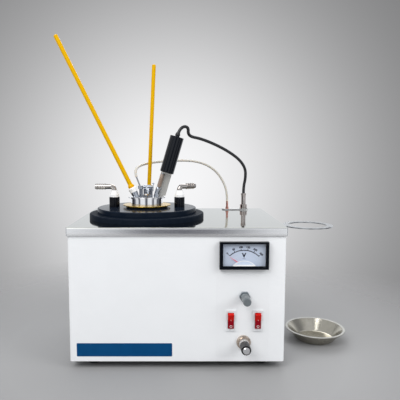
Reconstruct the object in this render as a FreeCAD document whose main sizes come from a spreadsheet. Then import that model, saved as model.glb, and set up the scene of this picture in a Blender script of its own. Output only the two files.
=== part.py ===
import FreeCAD, Part
import math
import os
import re

import Sketcher
from FreeCAD import Placement, Rotation, Vector

# Closed-cup flash point tester. Millimetres, +Z up, -Y towards the user.
# The origin is on the bench, under the middle of the cabinet.

SIZES = {
    # Cabinet
    "deck_width": 320,
    "deck_depth": 238,
    "cabinet_height": 200,
    "deck_lip": 12.4,
    "deck_sheet": 1.2,
    "deck_corner": 2.5,
    "deck_edge": 0.9,
    "body_inset": 1.9,
    "body_sheet": 1.5,
    "body_bend": 3,
    "tray_flange": 14,
    "vent_width": 44,
    "vent_height": 4,
    "vent_rise": 11,
    "vent_count": 6,
    "vent_margin": 38.1,
    "vent_low": 105,
    # Feet
    "foot_height": 11,
    "foot_radius": 11.5,
    "foot_taper": 1,
    "foot_recess_radius": 6,
    "foot_recess_depth": 5,
    "foot_side_gap": 33.5,
    "foot_end_gap": 30,
    "screw_radius": 2,
    "screw_head_radius": 4,
    "screw_head": 2.6,
    "screw_nut_radius": 4,
    "screw_nut": 3.2,
    "screw_proud": 1.5,
    # Bath and its covers
    "bath_left": 51.5,
    "bath_radius": 70,
    "bath_wall": 1.5,
    "bath_depth": 130,
    "bath_flange": 1.5,
    "bath_flange_radius": 80,
    "deck_hole_play": 1,
    "heater_height": 45,
    "heater_thickness": 3,
    "heater_rise": 8,
    "lower_disc_radius": 95,
    "lower_disc_height": 8,
    "upper_disc_radius": 82.2,
    "upper_disc_height": 8.6,
    "disc_round": 2,
    "spigot_depth": 3,
    "chamber_radius": 32.2,
    "chamber_wall": 1.2,
    "chamber_depth": 63.5,
    "chamber_flange_radius": 34,
    "chamber_flange": 1,
    "ring_radius": 34.5,
    "ring_bore": 28.2,
    "ring_height": 3.2,
    # Cup
    "cup_radius": 26.8,
    "cup_wall": 1.4,
    "cup_depth": 55.9,
    "cup_stand": 12,
    "cup_flange_radius": 39.7,
    "cup_flange": 1.2,
    "gauge_height": 38,
    "gauge_wire": 0.8,
    "gauge_reach": 6,
    "gauge_point": 9,
    # Coolant posts, collars and hose elbows
    "post_reach": 54.5,
    "post_radius": 8.75,
    "post_height": 16.7,
    "post_edge": 0.8,
    "collar_radius": 7.7,
    "collar_neck": 5.2,
    "collar_straight": 4,
    "collar_height": 11.3,
    "elbow_radius": 4.2,
    "elbow_bore": 2.9,
    "elbow_bend": 6,
    "elbow_rise": 17.3,
    "elbow_dip": 14,
    "barb_reach": 32,
    "barb_radius": 5.1,
    "barb_pitch": 4.4,
    "barb_count": 4,
    "barb_yaw": 36,
    # Bath thermometer
    "bath_rod_radius": 3.4,
    "bath_rod_back": 48,
    "bath_rod_right": -1.25,
    "bath_rod_lean": 2.7,
    "bath_rod_length": 242.7,
    "bath_rod_depth": 80,
    "bulb_radius": 2.5,
    "bulb_length": 14,
    "rod_tip_round": 1.6,
    "grommet_radius": 6.8,
    "grommet_neck": 5.8,
    "grommet_height": 2.2,
    # Meter
    "meter_width": 70.8,
    "meter_height": 40,
    "meter_right": 96.8,
    "meter_drop": 40.3,
    "meter_proud": 7.5,
    "meter_behind": 38,
    "meter_body_share": 0.94,
    "window_width": 61,
    "window_height": 32,
    "window_up": 0.85,
    "window_depth": 7,
    "window_lip": 2.6,
    "cavity_width": 64,
    "cavity_height": 36.4,
    "lens_rebate": 1,
    "lens_thickness": 1.5,
    "lens_sunk": 0.6,
    "dial_thickness": 0.8,
    "needle_length": 26,
    "needle_width": 0.9,
    "needle_thickness": 0.5,
    "needle_hub": 1.5,
    "needle_gap": 1.7,
    "needle_low": 17,
    "needle_rest": 55.7,
    # Voltage control
    "volt_right": 98.6,
    "volt_drop": 101.3,
    "pot_radius": 12,
    "pot_depth": 11,
    "pot_bush_radius": 4.6,
    "pot_shaft_radius": 3,
    "pot_nut_radius": 8.1,
    "pot_nut_height": 5,
    "volt_knob_radius": 6,
    "volt_knob_proud": 30.7,
    "volt_knob_bore": 12,
    "flute_radius": 0.9,
    "flute_count": 18,
    # Switches
    "switch_left": 78.8,
    "switch_right": 118.4,
    "switch_drop": 137.4,
    "switch_width": 15,
    "switch_height": 31,
    "switch_bezel": 2,
    "switch_body_width": 12.6,
    "switch_body_height": 27.6,
    "switch_depth": 20,
    "rocker_width": 8.3,
    "rocker_height": 23,
    "rocker_play": 0.5,
    "rocker_well": 8,
    "rocker_crown": 3.6,
    "rocker_ends": 5.4,
    "rocker_belly": 2.6,
    "rocker_tilt": 9,
    "rocker_pin": 1.3,
    "rocker_pin_end": 1,
    # Gas valve
    "valve_right": 97.9,
    "valve_drop": 170.3,
    "valve_body_radius": 10,
    "valve_body_depth": 26,
    "valve_bush_radius": 6,
    "valve_stem_radius": 3,
    "valve_ring_radius": 10.4,
    "valve_ring_height": 6,
    "gas_knob_radius": 7.1,
    "gas_knob_proud": 31,
    "gas_knob_bore": 15.7,
    "gas_cap_radius": 4.85,
    "gas_cap_height": 2.6,
    # Deck fittings
    "fitting_margin": 19.5,
    "gas_right": 92.5,
    "gas_nut_radius": 3,
    "gas_nut_height": 3.4,
    "gas_sleeve_radius": 2.1,
    "gas_sleeve_top": 16.2,
    "gas_bore": 1.2,
    "gas_tail": 12,
    "plug_right": 123.4,
    "socket_radius": 5.6,
    "socket_flange_radius": 7.6,
    "socket_flange": 1.6,
    "socket_height": 7,
    "socket_tail": 14,
    "plug_ring_radius": 6.8,
    "plug_ring_height": 6.3,
    "plug_body_radius": 4.4,
    "plug_body_top": 26,
    "plug_clamp_radius": 5,
    "plug_top": 31,
    "strap_width": 14,
    "strap_thickness": 1.8,
    "strap_left": 9.6,
    "strap_right": 9,
    "strap_point": 4.5,
    # Cup holder on the right side
    "holder_reach": 42.6,
    "holder_front": 61,
    "holder_outer": 38,
    "holder_inner": 28.8,
    "holder_sheet": 1.6,
    "holder_drop": 4.4,
    "holder_neck": 26,
    "holder_flange": 7.4,
    "holder_screw_gap": 15,
    "holder_screw_head": 2.6,
    "holder_screw_shank": 1.4,
    # Dish
    "dish_gap": 76,
    "dish_front": 1.5,
    "dish_rim": 49.5,
    "dish_mouth": 46.2,
    "dish_base": 31.5,
    "dish_height": 19,
    "dish_sheet": 0.8,
    "dish_round": 3,
    # Rear inlets and board
    "inlet_right": 100,
    "inlet_up": 48,
    "inlet_width": 48,
    "inlet_height": 28,
    "inlet_face": 3,
    "inlet_body_width": 30,
    "inlet_body_height": 22,
    "inlet_body_depth": 24,
    "inlet_well_width": 25,
    "inlet_well_height": 17,
    "inlet_well_depth": 17,
    "inlet_pin_width": 2,
    "inlet_pin_height": 5,
    "inlet_pin_length": 10,
    "inlet_pin_gap": 7,
    "gas_inlet_right": 45,
    "gas_inlet_up": 48,
    "gas_inlet_reach": 22,
    "gas_inlet_radius": 3.4,
    "gas_inlet_nut": 8,
    "gas_inlet_nut_height": 5,
    "board_width": 80,
    "board_height": 60,
    "board_thickness": 1.6,
    "board_right": 85,
    "board_back": 62,
    "board_up": 6,
    "board_part": 9,
    # Lid plate
    "lid_radius": 28.4,
    "lid_plate": 1.2,
    "lid_skirt": 1.6,
    "lid_play": 0.35,
    "ear_reach": 2.4,
    "ear_width": 9,
    "ear_thickness": 1,
    "ear_slant": 1.2,
    # Cup thermometer and its socket, on an axis leaning left
    "rod_left": 16.8,
    "rod_front": 10,
    "rod_lean": 26.1,
    "rod_radius": 3.55,
    "rod_length": 290,
    "stem_radius": 2.9,
    "stem_dip": 46,
    "stem_play": 0.4,
    "bulge_radius": 5.2,
    "bulge_low": 17,
    "bulge_height": 6,
    "sleeve_radius": 5.1,
    "sleeve_height": 9,
    "sleeve_band": 4.4,
    "sleeve_band_radius": 5.7,
    "cone_low_radius": 6,
    "cone_top_radius": 7,
    # Shutter, guides and test jet
    "track_left": 0.25,
    "track_half": 5,
    "track_front": 8.5,
    "track_back": 24.5,
    "rail_width": 1.8,
    "rail_height": 3,
    "rail_cover": 1,
    "rail_lap": 1,
    "shutter_sheet": 1.5,
    "shutter_front": 7.5,
    "shutter_back": 12,
    "shutter_play": 0.15,
    "shutter_travel": 11,
    "port_half": 3.6,
    "port_front": 5,
    "port_back": 3,
    "jet_back": 6,
    "jet_rise": 14.8,
    "jet_tube": 1.8,
    "jet_length": 15.5,
    "jet_tip": 0.9,
    "jet_root": 1.5,
    "jet_lean": 13,
    "jet_turn": 55.3,
    "jet_pin_rise": 4.3,
    "jet_pin": 0.8,
    "jet_arm_right": 1.1,
    "jet_arm_thickness": 1.4,
    "jet_arm_width": 4.4,
    "jet_arm_length": 12.8,
    "jet_slot_play": 0.35,
    "jet_play": 0.05,
    "lug_thickness": 1,
    "lug_width": 4,
    "post_thickness": 2.2,
    "post_width": 7,
    "left_post": 5.6,
    "post_gap": 0.3,
    "drum_radius": 4,
    "drum_half": 5.6,
    "lever_rise": 6.6,
    "lever_tail": 7.5,
    "lever_thickness": 1.4,
    "lever_width": 2.6,
    "ball_radius": 1.7,
    # Gas union on the left jet post, with its riser
    "union_radius": 4.4,
    "union_height": 5.7,
    "riser_tube": 1.3,
    "riser_bore": 0.7,
    "riser_run": 18.5,
    "riser_lean": 21.7,
    # Stirrer, on an axis leaning right
    "stir_right": 15,
    "stir_back": 8,
    "stir_lean": 16.5,
    "stir_offset": 6,
    "shaft_radius": 1.5,
    "shaft_play": 0.05,
    "shaft_dip": 50,
    "bush_radius": 4.2,
    "bush_height": 15.5,
    "coupling_radius": 3.6,
    "coupling_groove": 0.7,
    "coupling_low": 16.4,
    "coupling_high": 38.5,
    "coupling_count": 8,
    "blade_radius": 8,
    "blade_height": 5,
    "blade_thickness": 1,
    "blade_count": 4,
    "blade_hub": 2.6,
    "motor_radius": 11.7,
    "motor_low": 43,
    "motor_length": 62.5,
    "motor_edge": 0.8,
    "motor_gland_radius": 3.8,
    "motor_gland_height": 2.4,
    "bracket_sheet": 1.6,
    "bracket_width": 18,
    "bracket_foot": 6.5,
    "bracket_behind": 4.8,
    "bracket_top": 2,
    # Cords
    "cable_radius": 2.7,
    "tube_radius": 2.1,
    "tube_gap": 0.2,
    # Running gap between a hole and what passes through it, and the overrun of every cut
    "fit_gap": 0.3,
    "overrun": 5,
}

# Heights and places that follow from the sizes above
WORKED = {
    "deck_top": "foot_height + cabinet_height",
    "wrap_half": "deck_width / 2 - body_inset",
    "wrap_front": "body_inset - deck_depth / 2",
    "wrap_back": "deck_depth / 2 - body_inset",
    "foot_across": "deck_width / 2 - foot_side_gap",
    "foot_back": "deck_depth / 2 - foot_end_gap",
    "vent_left": "vent_margin - wrap_half",
    "fitting_back": "deck_depth / 2 - fitting_margin",
    "holder_right": "deck_width / 2 + holder_reach",
    "dish_right": "deck_width / 2 + dish_gap",
    "lower_top": "deck_top + lower_disc_height",
    "disc_top": "lower_top + upper_disc_height",
    "ring_top": "disc_top + ring_height",
    "flange_top": "ring_top + cup_flange",
    "rim_top": "flange_top + cup_stand",
    "lid_top": "rim_top + lid_plate",
    "cup_floor": "rim_top - cup_depth",
    "post_tip": "disc_top + post_height",
    "elbow_level": "post_tip + elbow_rise",
    "meter_up": "deck_top - meter_drop",
    "volt_up": "deck_top - volt_drop",
    "switch_up": "deck_top - switch_drop",
    "valve_up": "deck_top - valve_drop",
    "jet_level": "lid_top + jet_rise",
    "shutter_low": "lid_top + shutter_play",
    "pivot_up": "meter_up + window_up - needle_low",
    "dial_back": "wrap_front - meter_proud + window_depth",
}

# Routes of the two free cords, from the lid to the deck
CABLE_POINTS = [
    (0.03, 8, 347.38), (2, 8.6, 353.4), (7, 10.6, 360.2), (13.2, 12.6, 362.4), (18, 14.8, 358.9),
    (17.6, 17.3, 350.4), (22.2, 21.8, 345.2), (39.4, 31, 342.2), (62.8, 46, 333.8), (88, 63, 322),
    (112.2, 80, 306.3), (125.6, 92, 289), (126.6, 98, 269.8), (123.4, 99.5, 254.8), (123.4, 99.5, 242),
]
TUBE_POINTS = [
    (-69.56, 6, 277.38), (-71.6, 7.2, 285), (-70.4, 16, 291.6), (-65.6, 34, 296), (-53.6, 57, 299.4),
    (-34.5, 72.8, 301.8), (-11.2, 84, 303.3), (10.9, 91, 303.9), (33.4, 95.5, 302.2), (55.1, 99, 295.2),
    (73.6, 101, 281.6), (86.6, 101.4, 261.5), (92.5, 99.8, 241.5), (92.5, 99.5, 227.4),
]

doc = FreeCAD.newDocument("flash_point_tester")
sheet = doc.addObject("Spreadsheet::Sheet", "Sizes")
for row, (alias, value) in enumerate(list(SIZES.items()) + list(WORKED.items()), start=1):
    sheet.set("A%d" % row, alias)
    sheet.setAlias("B%d" % row, alias)
    sheet.set("B%d" % row, "=" + value if alias in WORKED else str(value))
doc.recompute()

PIECES = []


def bind(words):
    """The expression in words, with the name of each size pointed at the sheet."""
    return re.sub(r"[a-z]\w*", lambda word: "Sizes." + word[0] if hasattr(sheet, word[0]) else word[0],
                  words)


def size(words):
    """The number that a size, or a sum of sizes, has now."""
    return float(sheet.evalExpression(bind(words)))


def near(one, other):
    return abs(one - other) < 1e-4


# Bodies, sketches and features

def new_body(label, right="0", back="0", up="0", lean=None, about=(0, 1, 0)):
    """A body of its own name, placed by the sizes, and leaning by an angle about one axis."""
    body = doc.addObject("PartDesign::Body", label)
    body.AllowCompound = True
    if lean:
        body.Placement = Placement(Vector(), Rotation(Vector(*about), 1))
        body.setExpression("Placement.Rotation.Angle", bind(lean))
    for side, words in zip("xyz", (right, back, up)):
        body.setExpression("Placement.Base." + side, bind(words))
    PIECES.append(body)
    return body


def origin_part(body, role):
    return next(part for part in body.Origin.OriginFeatures if part.Role == role)


def new_sketch(body, plane="XZ_Plane", at="0"):
    """A sketch on one of the body's origin planes, moved along the body's own axis to a place."""
    sketch = body.newObject("Sketcher::SketchObject", "sketch")
    sketch.AttachmentSupport = (origin_part(body, plane), [""])
    sketch.MapMode = "FlatFace"
    along = "-(%s)" % at if plane == "XZ_Plane" else at
    sketch.setExpression("AttachmentOffset.Base.z", bind(along))
    return sketch


def tie(sketch, kind, words, *where):
    """A driven constraint, set first to the value that its expression has."""
    index = sketch.addConstraint(Sketcher.Constraint(kind, *where, size(words)))
    sketch.setExpression("Constraints[%d]" % index, bind(words))


def hold(sketch, line, end, across, up):
    """Tie one point of a sketch to its place."""
    tie(sketch, "DistanceX", across, -1, 1, line, end)
    tie(sketch, "DistanceY", up, -1, 1, line, end)


def add_outline(sketch, points):
    """A closed outline of straight lines through points given in words."""
    first, count = sketch.GeometryCount, len(points)
    turn = 2 * math.pi / count
    starts = [Vector(math.cos(turn * index), math.sin(turn * index), 0) for index in range(count)]
    for index in range(count):
        sketch.addGeometry(Part.LineSegment(starts[index], starts[(index + 1) % count]), False)
    for index, (across, up) in enumerate(points):
        following = first + (index + 1) % count
        sketch.addConstraint(Sketcher.Constraint("Coincident", first + index, 2, following, 1))
        hold(sketch, first + index, 1, across, up)
    return sketch


def add_box(sketch, left, low, right, high):
    return add_outline(sketch, [(left, low), (right, low), (right, high), (left, high)])


def add_middle_box(sketch, across, up, width, height):
    """A rectangle about its own middle."""
    sides = ["%s - (%s) / 2" % (across, width), "%s - (%s) / 2" % (up, height)]
    far = ["%s + (%s) / 2" % (across, width), "%s + (%s) / 2" % (up, height)]
    return add_box(sketch, *sides, *far)


def add_circle(sketch, across, up, radius):
    index = sketch.addGeometry(Part.Circle(Vector(), Vector(0, 0, 1), 1.0), False)
    tie(sketch, "Radius", radius, index)
    hold(sketch, index, 3, across, up)
    return sketch


def add_axis(sketch, across, up, far_across, far_up):
    """A construction line, which a turned feature goes round."""
    index = sketch.addGeometry(Part.LineSegment(Vector(), Vector(1, 1, 0)), True)
    hold(sketch, index, 1, across, up)
    hold(sketch, index, 2, far_across, far_up)
    return sketch


def pad(body, sketch, length, middle=False, back=False):
    feature = body.newObject("PartDesign::Pad", "pad")
    feature.Profile = sketch
    feature.setExpression("Length", bind(length))
    feature.SideType = "Symmetric" if middle else "One side"
    feature.Reversed = back
    return feature


def pocket(body, sketch, depth=None, onward=False):
    """A cut: right through both ways, or to a depth against the sketch's normal, or onward along it."""
    feature = body.newObject("PartDesign::Pocket", "pocket")
    feature.Profile = sketch
    if depth is None:
        feature.Type = "ThroughAll"
        feature.SideType = "Symmetric"
    else:
        feature.setExpression("Length", bind(depth))
        feature.Reversed = onward
    return feature


def turn(body, sketch, axis="V_Axis", cut=False):
    feature = body.newObject("PartDesign::Groove" if cut else "PartDesign::Revolution", "turned")
    feature.Profile = sketch
    feature.ReferenceAxis = (sketch, [axis])
    feature.Angle = 360
    return feature


def repeat(body, feature, gap, count="2", role="X_Axis", second=None):
    """Copies of a feature in a row, or in rows along X and Y."""
    pattern = body.newObject("PartDesign::LinearPattern", "row")
    pattern.Originals = [feature]
    pattern.Direction = (origin_part(body, role), [""])
    pattern.Mode = "Spacing"
    pattern.setExpression("Offset", bind(gap))
    pattern.setExpression("Occurrences", bind(count))
    if second:
        pattern.Direction2 = (origin_part(body, "Y_Axis"), [""])
        pattern.Mode2 = "Extent"
        pattern.setExpression("Length2", bind(second))
        pattern.Occurrences2 = 2
    body.Tip = pattern
    return pattern


def mirrored(body, feature, role="YZ_Plane"):
    mirror = body.newObject("PartDesign::Mirrored", "mirrored")
    mirror.Originals = [feature]
    mirror.MirrorPlane = (origin_part(body, role), [""])
    body.Tip = mirror
    return mirror


def around(body, feature, count, role="Z_Axis"):
    pattern = body.newObject("PartDesign::PolarPattern", "around")
    pattern.Originals = [feature]
    pattern.Axis = (origin_part(body, role), [""])
    pattern.Angle = 360
    pattern.setExpression("Occurrences", bind(count))
    body.Tip = pattern
    return pattern


def soften(body, base, radius, chosen, kind="Fillet"):
    """Round or bevel the edges of a feature that a test picks out."""
    doc.recompute()
    names = ["Edge%d" % number for number, edge in enumerate(base.Shape.Edges, start=1) if chosen(edge)]
    if not names:
        raise ValueError("no edge of %s to soften" % body.Label)
    feature = body.newObject("PartDesign::" + kind, "softened")
    feature.Base = (base, names)
    feature.setExpression("Radius" if kind == "Fillet" else "Size", bind(radius))
    return feature


def is_rim(edge, radius, up):
    """A level circular edge of this radius and height."""
    curve = edge.Curve
    return isinstance(curve, Part.Circle) and near(curve.Radius, radius) and near(curve.Center.z, up)


def is_upright(edge, across, back):
    """An upright straight edge at this place."""
    middle = edge.CenterOfMass
    straight = isinstance(edge.Curve, Part.Line) and near(abs(edge.tangentAt(edge.FirstParameter).z), 1)
    return straight and near(middle.x, across) and near(middle.y, back)


def turned_body(label, points, **place):
    """A body turned about its own Z axis from an outline of radii and heights."""
    body = new_body(label, **place)
    return body, turn(body, add_outline(new_sketch(body), points))


def check_cut(before, after):
    """A cut that took nothing away is a mistake."""
    doc.recompute()
    if not after.Shape.Volume < before.Shape.Volume - 1e-6:
        raise ValueError("a cut in %s removed nothing" % after.getParentGeoFeatureGroup().Label)
    return after


# Cabinet: wrap, rear panel, base tray, feet and deck

def cabinet_wrap():
    body = new_body("cabinet_wrap")
    inner = "(wrap_half - body_sheet)"
    face = "(wrap_front + body_sheet)"
    end = "(wrap_back - body_sheet)"
    outline = [("-wrap_half", end), ("-wrap_half", "wrap_front"), ("wrap_half", "wrap_front"),
               ("wrap_half", end),
               (inner, end), (inner, face), ("-" + inner, face), ("-" + inner, end)]
    walls = pad(body, add_outline(new_sketch(body, "XY_Plane", "foot_height"), outline),
                "cabinet_height - deck_sheet")
    half, front, sheet_size = size("wrap_half"), size("wrap_front"), size("body_sheet")
    bend = soften(body, walls, "body_bend", lambda edge: is_upright(edge, half, front) or is_upright(edge,
                                                                                                     -half,
                                                                                                     front))
    inside = soften(body, bend, "max(body_bend - body_sheet; body_sheet / 4)",
                    lambda edge: is_upright(edge, half - sheet_size, front + sheet_size)
                    or is_upright(edge, sheet_size - half, front + sheet_size))
    holes = new_sketch(body, "XZ_Plane", "wrap_front")
    add_middle_box(holes, "meter_right", "meter_up", "meter_width * meter_body_share",
                   "meter_height * meter_body_share")
    for side in ("switch_left", "switch_right"):
        add_middle_box(holes, side, "switch_up", "switch_body_width", "switch_body_height")
    add_circle(holes, "volt_right", "volt_up", "pot_bush_radius + fit_gap / 2")
    add_circle(holes, "valve_right", "valve_up", "valve_bush_radius + fit_gap / 2")
    check_cut(inside, pocket(body, holes, "body_sheet + overrun"))


def rear_panel():
    body = new_body("rear_panel")
    sketch = new_sketch(body, "XZ_Plane", "wrap_back")
    plate = pad(body, add_box(sketch, "-wrap_half", "foot_height", "wrap_half", "deck_top - deck_sheet"),
                "body_sheet")
    holes = new_sketch(body, "XZ_Plane", "wrap_back")
    add_middle_box(holes, "inlet_right", "inlet_up", "inlet_body_width + fit_gap",
                   "inlet_body_height + fit_gap")
    add_circle(holes, "gas_inlet_right", "gas_inlet_up", "gas_inlet_radius + fit_gap / 2")
    cut = pocket(body, holes)
    check_cut(plate, cut)
    vent = new_sketch(body, "XZ_Plane", "wrap_back")
    add_middle_box(vent, "vent_left", "vent_low", "vent_width", "vent_height")
    slot = pocket(body, vent)
    check_cut(cut, slot)
    repeat(body, slot, "vent_rise", "vent_count", "Z_Axis")


def base_tray():
    body = new_body("base_tray")
    half, front, back = "(wrap_half - body_sheet)", "(wrap_front + body_sheet)", "(wrap_back - body_sheet)"
    plan = add_box(new_sketch(body, "XY_Plane", "foot_height"), "-" + half, front, half, back)
    square = pad(body, plan, "tray_flange")
    side, face = size("wrap_half") - size("body_sheet"), size("wrap_front") + size("body_sheet")
    block = soften(body, square, "body_bend", lambda edge: is_upright(edge, side, face) or is_upright(edge,
                                                                                                      -side,
                                                                                                      face))
    hollow = new_sketch(body, "XY_Plane", "foot_height + tray_flange")
    add_box(hollow, "body_sheet - wrap_half + body_sheet", front + " + body_sheet", half + " - body_sheet",
            back + " - body_sheet")
    tray = check_cut(block, pocket(body, hollow, "tray_flange - body_sheet"))
    holes = new_sketch(body, "XY_Plane", "foot_height")
    for across in ("foot_across", "-foot_across"):
        for along in ("foot_back", "-foot_back"):
            add_circle(holes, across, along, "screw_radius + fit_gap / 2")
    check_cut(tray, pocket(body, holes))


def feet():
    body = new_body("feet", right="-foot_across", back="-foot_back")
    bore = "screw_radius + fit_gap / 2"
    outline = [(bore, "foot_recess_depth"), ("foot_recess_radius", "foot_recess_depth"),
               ("foot_recess_radius", "0"),
               ("foot_radius - foot_taper", "0"), ("foot_radius", "foot_height"), (bore, "foot_height")]
    foot = turn(body, add_outline(new_sketch(body), outline))
    repeat(body, foot, "2 * foot_across", second="2 * foot_back")


def foot_screws():
    body = new_body("foot_screws", right="-foot_across", back="-foot_back")
    head = "(foot_recess_depth - screw_head)"
    seat = "(foot_height + body_sheet)"
    outline = [("0", head), ("screw_head_radius", head), ("screw_head_radius", "foot_recess_depth"),
               ("screw_radius", "foot_recess_depth"), ("screw_radius", seat), ("screw_nut_radius", seat),
               ("screw_nut_radius", seat + " + screw_nut"), ("screw_radius", seat + " + screw_nut"),
               ("screw_radius", seat + " + screw_nut + screw_proud"),
               ("0", seat + " + screw_nut + screw_proud")]
    screw = turn(body, add_outline(new_sketch(body), outline))
    repeat(body, screw, "2 * foot_across", second="2 * foot_back")


def top_deck():
    body = new_body("top_deck")
    low = "deck_top - deck_lip"
    outer = add_middle_box(new_sketch(body, "XY_Plane", low), "0", "0", "deck_width", "deck_depth")
    block = pad(body, outer, "deck_lip")
    half, deep, top = size("deck_width") / 2, size("deck_depth") / 2, size("deck_top")
    corners = soften(body, block, "deck_corner",
                     lambda edge: any(is_upright(edge, x, y) for x in (half, -half) for y in (deep, -deep)))
    rolled = soften(body, corners, "deck_edge", lambda edge: all(near(point.Z,
                                                                      top) for point in edge.Vertexes))
    under = new_sketch(body, "XY_Plane", low)
    add_middle_box(under, "0", "0", "deck_width - 2 * deck_sheet", "deck_depth - 2 * deck_sheet")
    shell = check_cut(rolled, pocket(body, under, "deck_lip - deck_sheet", onward=True))
    holes = new_sketch(body, "XY_Plane", "deck_top")
    add_circle(holes, "-bath_left", "0", "bath_radius + deck_hole_play")
    add_circle(holes, "gas_right", "fitting_back", "gas_sleeve_radius + fit_gap")
    add_circle(holes, "plug_right", "fitting_back", "socket_radius + fit_gap")
    check_cut(shell, pocket(body, holes))


# Bath: vessel, air chamber, heater, the two discs, insulating ring and cup

def bath_pieces():
    at = {"right": "-bath_left"}
    low, wall = "(deck_top - bath_depth)", "(bath_radius - bath_wall)"
    turned_body("bath_vessel", [
        ("0", low), ("bath_radius", low), ("bath_radius", "deck_top"), ("bath_flange_radius", "deck_top"),
        ("bath_flange_radius", "deck_top + bath_flange"), (wall, "deck_top + bath_flange"),
        (wall, low + " + bath_wall"), ("0", low + " + bath_wall")], **at)
    band = "(bath_radius + fit_gap)"
    turned_body("bath_heater", [
        (band, low + " + heater_rise"), (band + " + heater_thickness", low + " + heater_rise"),
        (band + " + heater_thickness", low + " + heater_rise + heater_height"),
        (band, low + " + heater_rise + heater_height")], **at)
    foot, bore = "(disc_top - chamber_depth)", "(chamber_radius - chamber_wall)"
    turned_body("air_chamber", [
        ("0", foot), ("chamber_radius", foot), ("chamber_radius", "disc_top - chamber_flange"),
        ("chamber_flange_radius", "disc_top - chamber_flange"), ("chamber_flange_radius", "disc_top"),
        (bore, "disc_top"), (bore, foot + " + chamber_wall"), ("0", foot + " + chamber_wall")], **at)


def lower_disc():
    recess = "bath_flange_radius + fit_gap"
    body, ring = turned_body("lower_disc", [
        ("bath_radius - bath_wall", "deck_top + bath_flange"), (recess, "deck_top + bath_flange"),
        (recess, "deck_top"), ("lower_disc_radius", "deck_top"), ("lower_disc_radius", "lower_top"),
        ("bath_radius - bath_wall", "lower_top")], right="-bath_left")
    outer, top = size("lower_disc_radius"), size("lower_top")
    soften(body, ring, "disc_round", lambda edge: is_rim(edge, outer, top))


def upper_disc():
    bore, spigot = "chamber_radius + fit_gap", "bath_radius - bath_wall - fit_gap"
    body, disc = turned_body("upper_disc", [
        (bore, "lower_top - spigot_depth"), (spigot, "lower_top - spigot_depth"), (spigot, "lower_top"),
        ("upper_disc_radius", "lower_top"), ("upper_disc_radius", "disc_top"),
        ("chamber_flange_radius + fit_gap", "disc_top"),
        ("chamber_flange_radius + fit_gap", "disc_top - chamber_flange"),
        (bore, "disc_top - chamber_flange")],
        right="-bath_left")
    outer, top = size("upper_disc_radius"), size("disc_top")
    rim = soften(body, disc, "disc_round", lambda edge: is_rim(edge, outer, top))
    holes = new_sketch(body, "XY_Plane", "disc_top")
    for side in ("post_reach", "-post_reach"):
        add_circle(holes, side, "0", "elbow_radius + fit_gap")
    add_circle(holes, "bath_rod_right", "bath_rod_back", "grommet_neck + fit_gap")
    check_cut(rim, pocket(body, holes))


def insulating_ring():
    turned_body("insulating_ring", [
        ("ring_bore", "disc_top"), ("ring_radius", "disc_top"), ("ring_radius", "ring_top"),
        ("ring_bore", "ring_top")], right="-bath_left")


def cup_flange():
    body, flange = turned_body("cup_flange", [
        ("cup_radius", "ring_top"), ("cup_flange_radius", "ring_top"), ("cup_flange_radius", "flange_top"),
        ("cup_radius", "flange_top")], right="-bath_left")
    outer, top = size("cup_flange_radius"), size("flange_top")
    soften(body, flange, "cup_flange / 3", lambda edge: is_rim(edge, outer, top))


def sample_cup():
    """The oil cup, with the bent wire gauge whose point marks the filling level."""
    bore = "(cup_radius - cup_wall)"
    body, cup = turned_body("sample_cup", [
        ("0", "cup_floor - cup_wall"), ("cup_radius", "cup_floor - cup_wall"), ("cup_radius", "rim_top"),
        (bore, "rim_top"), (bore, "cup_floor"), ("0", "cup_floor")], right="-bath_left")
    outer, low = size("cup_radius"), size("cup_floor") - size("cup_wall")
    soften(body, cup, "cup_wall", lambda edge: is_rim(edge, outer, low))
    level = "(cup_floor + gauge_height - gauge_point)"
    end = "(%s - gauge_reach)" % bore
    wire = new_sketch(body, "YZ_Plane")
    add_box(wire, end, level, bore + " + cup_wall / 2", level + " + 2 * gauge_wire")
    pad(body, wire, "2 * gauge_wire", middle=True)
    spike = new_sketch(body, "YZ_Plane")
    add_outline(spike, [(end, level), (end + " + 2 * gauge_wire", level), (end + " + 2 * gauge_wire", level
                + " + gauge_point * 0.7"), (end + " + gauge_wire", level + " + gauge_point"),
                (end, level + " + gauge_point * 0.7")])
    pad(body, spike, "2 * gauge_wire", middle=True)


# Coolant posts, collars, hose elbows

def coolant_posts():
    body, post = turned_body("coolant_posts", [
        ("elbow_radius + fit_gap / 2", "disc_top"), ("post_radius", "disc_top"),
        ("post_radius", "post_tip"),
        ("elbow_radius + fit_gap / 2", "post_tip")], right="-bath_left - post_reach")
    repeat(body, post, "2 * post_reach")
    outer, top = size("post_radius"), size("post_tip")
    soften(body, body.Tip, "post_edge", lambda edge: is_rim(edge, outer, top))


def post_collars():
    bore = "elbow_radius + fit_gap / 2"
    body, collar = turned_body("post_collars", [
        (bore, "post_tip"), ("collar_radius", "post_tip"), ("collar_radius", "post_tip + collar_straight"),
        ("collar_neck", "post_tip + collar_height"), (bore, "post_tip + collar_height")],
        right="-bath_left - post_reach")
    repeat(body, collar, "2 * post_reach")


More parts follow.
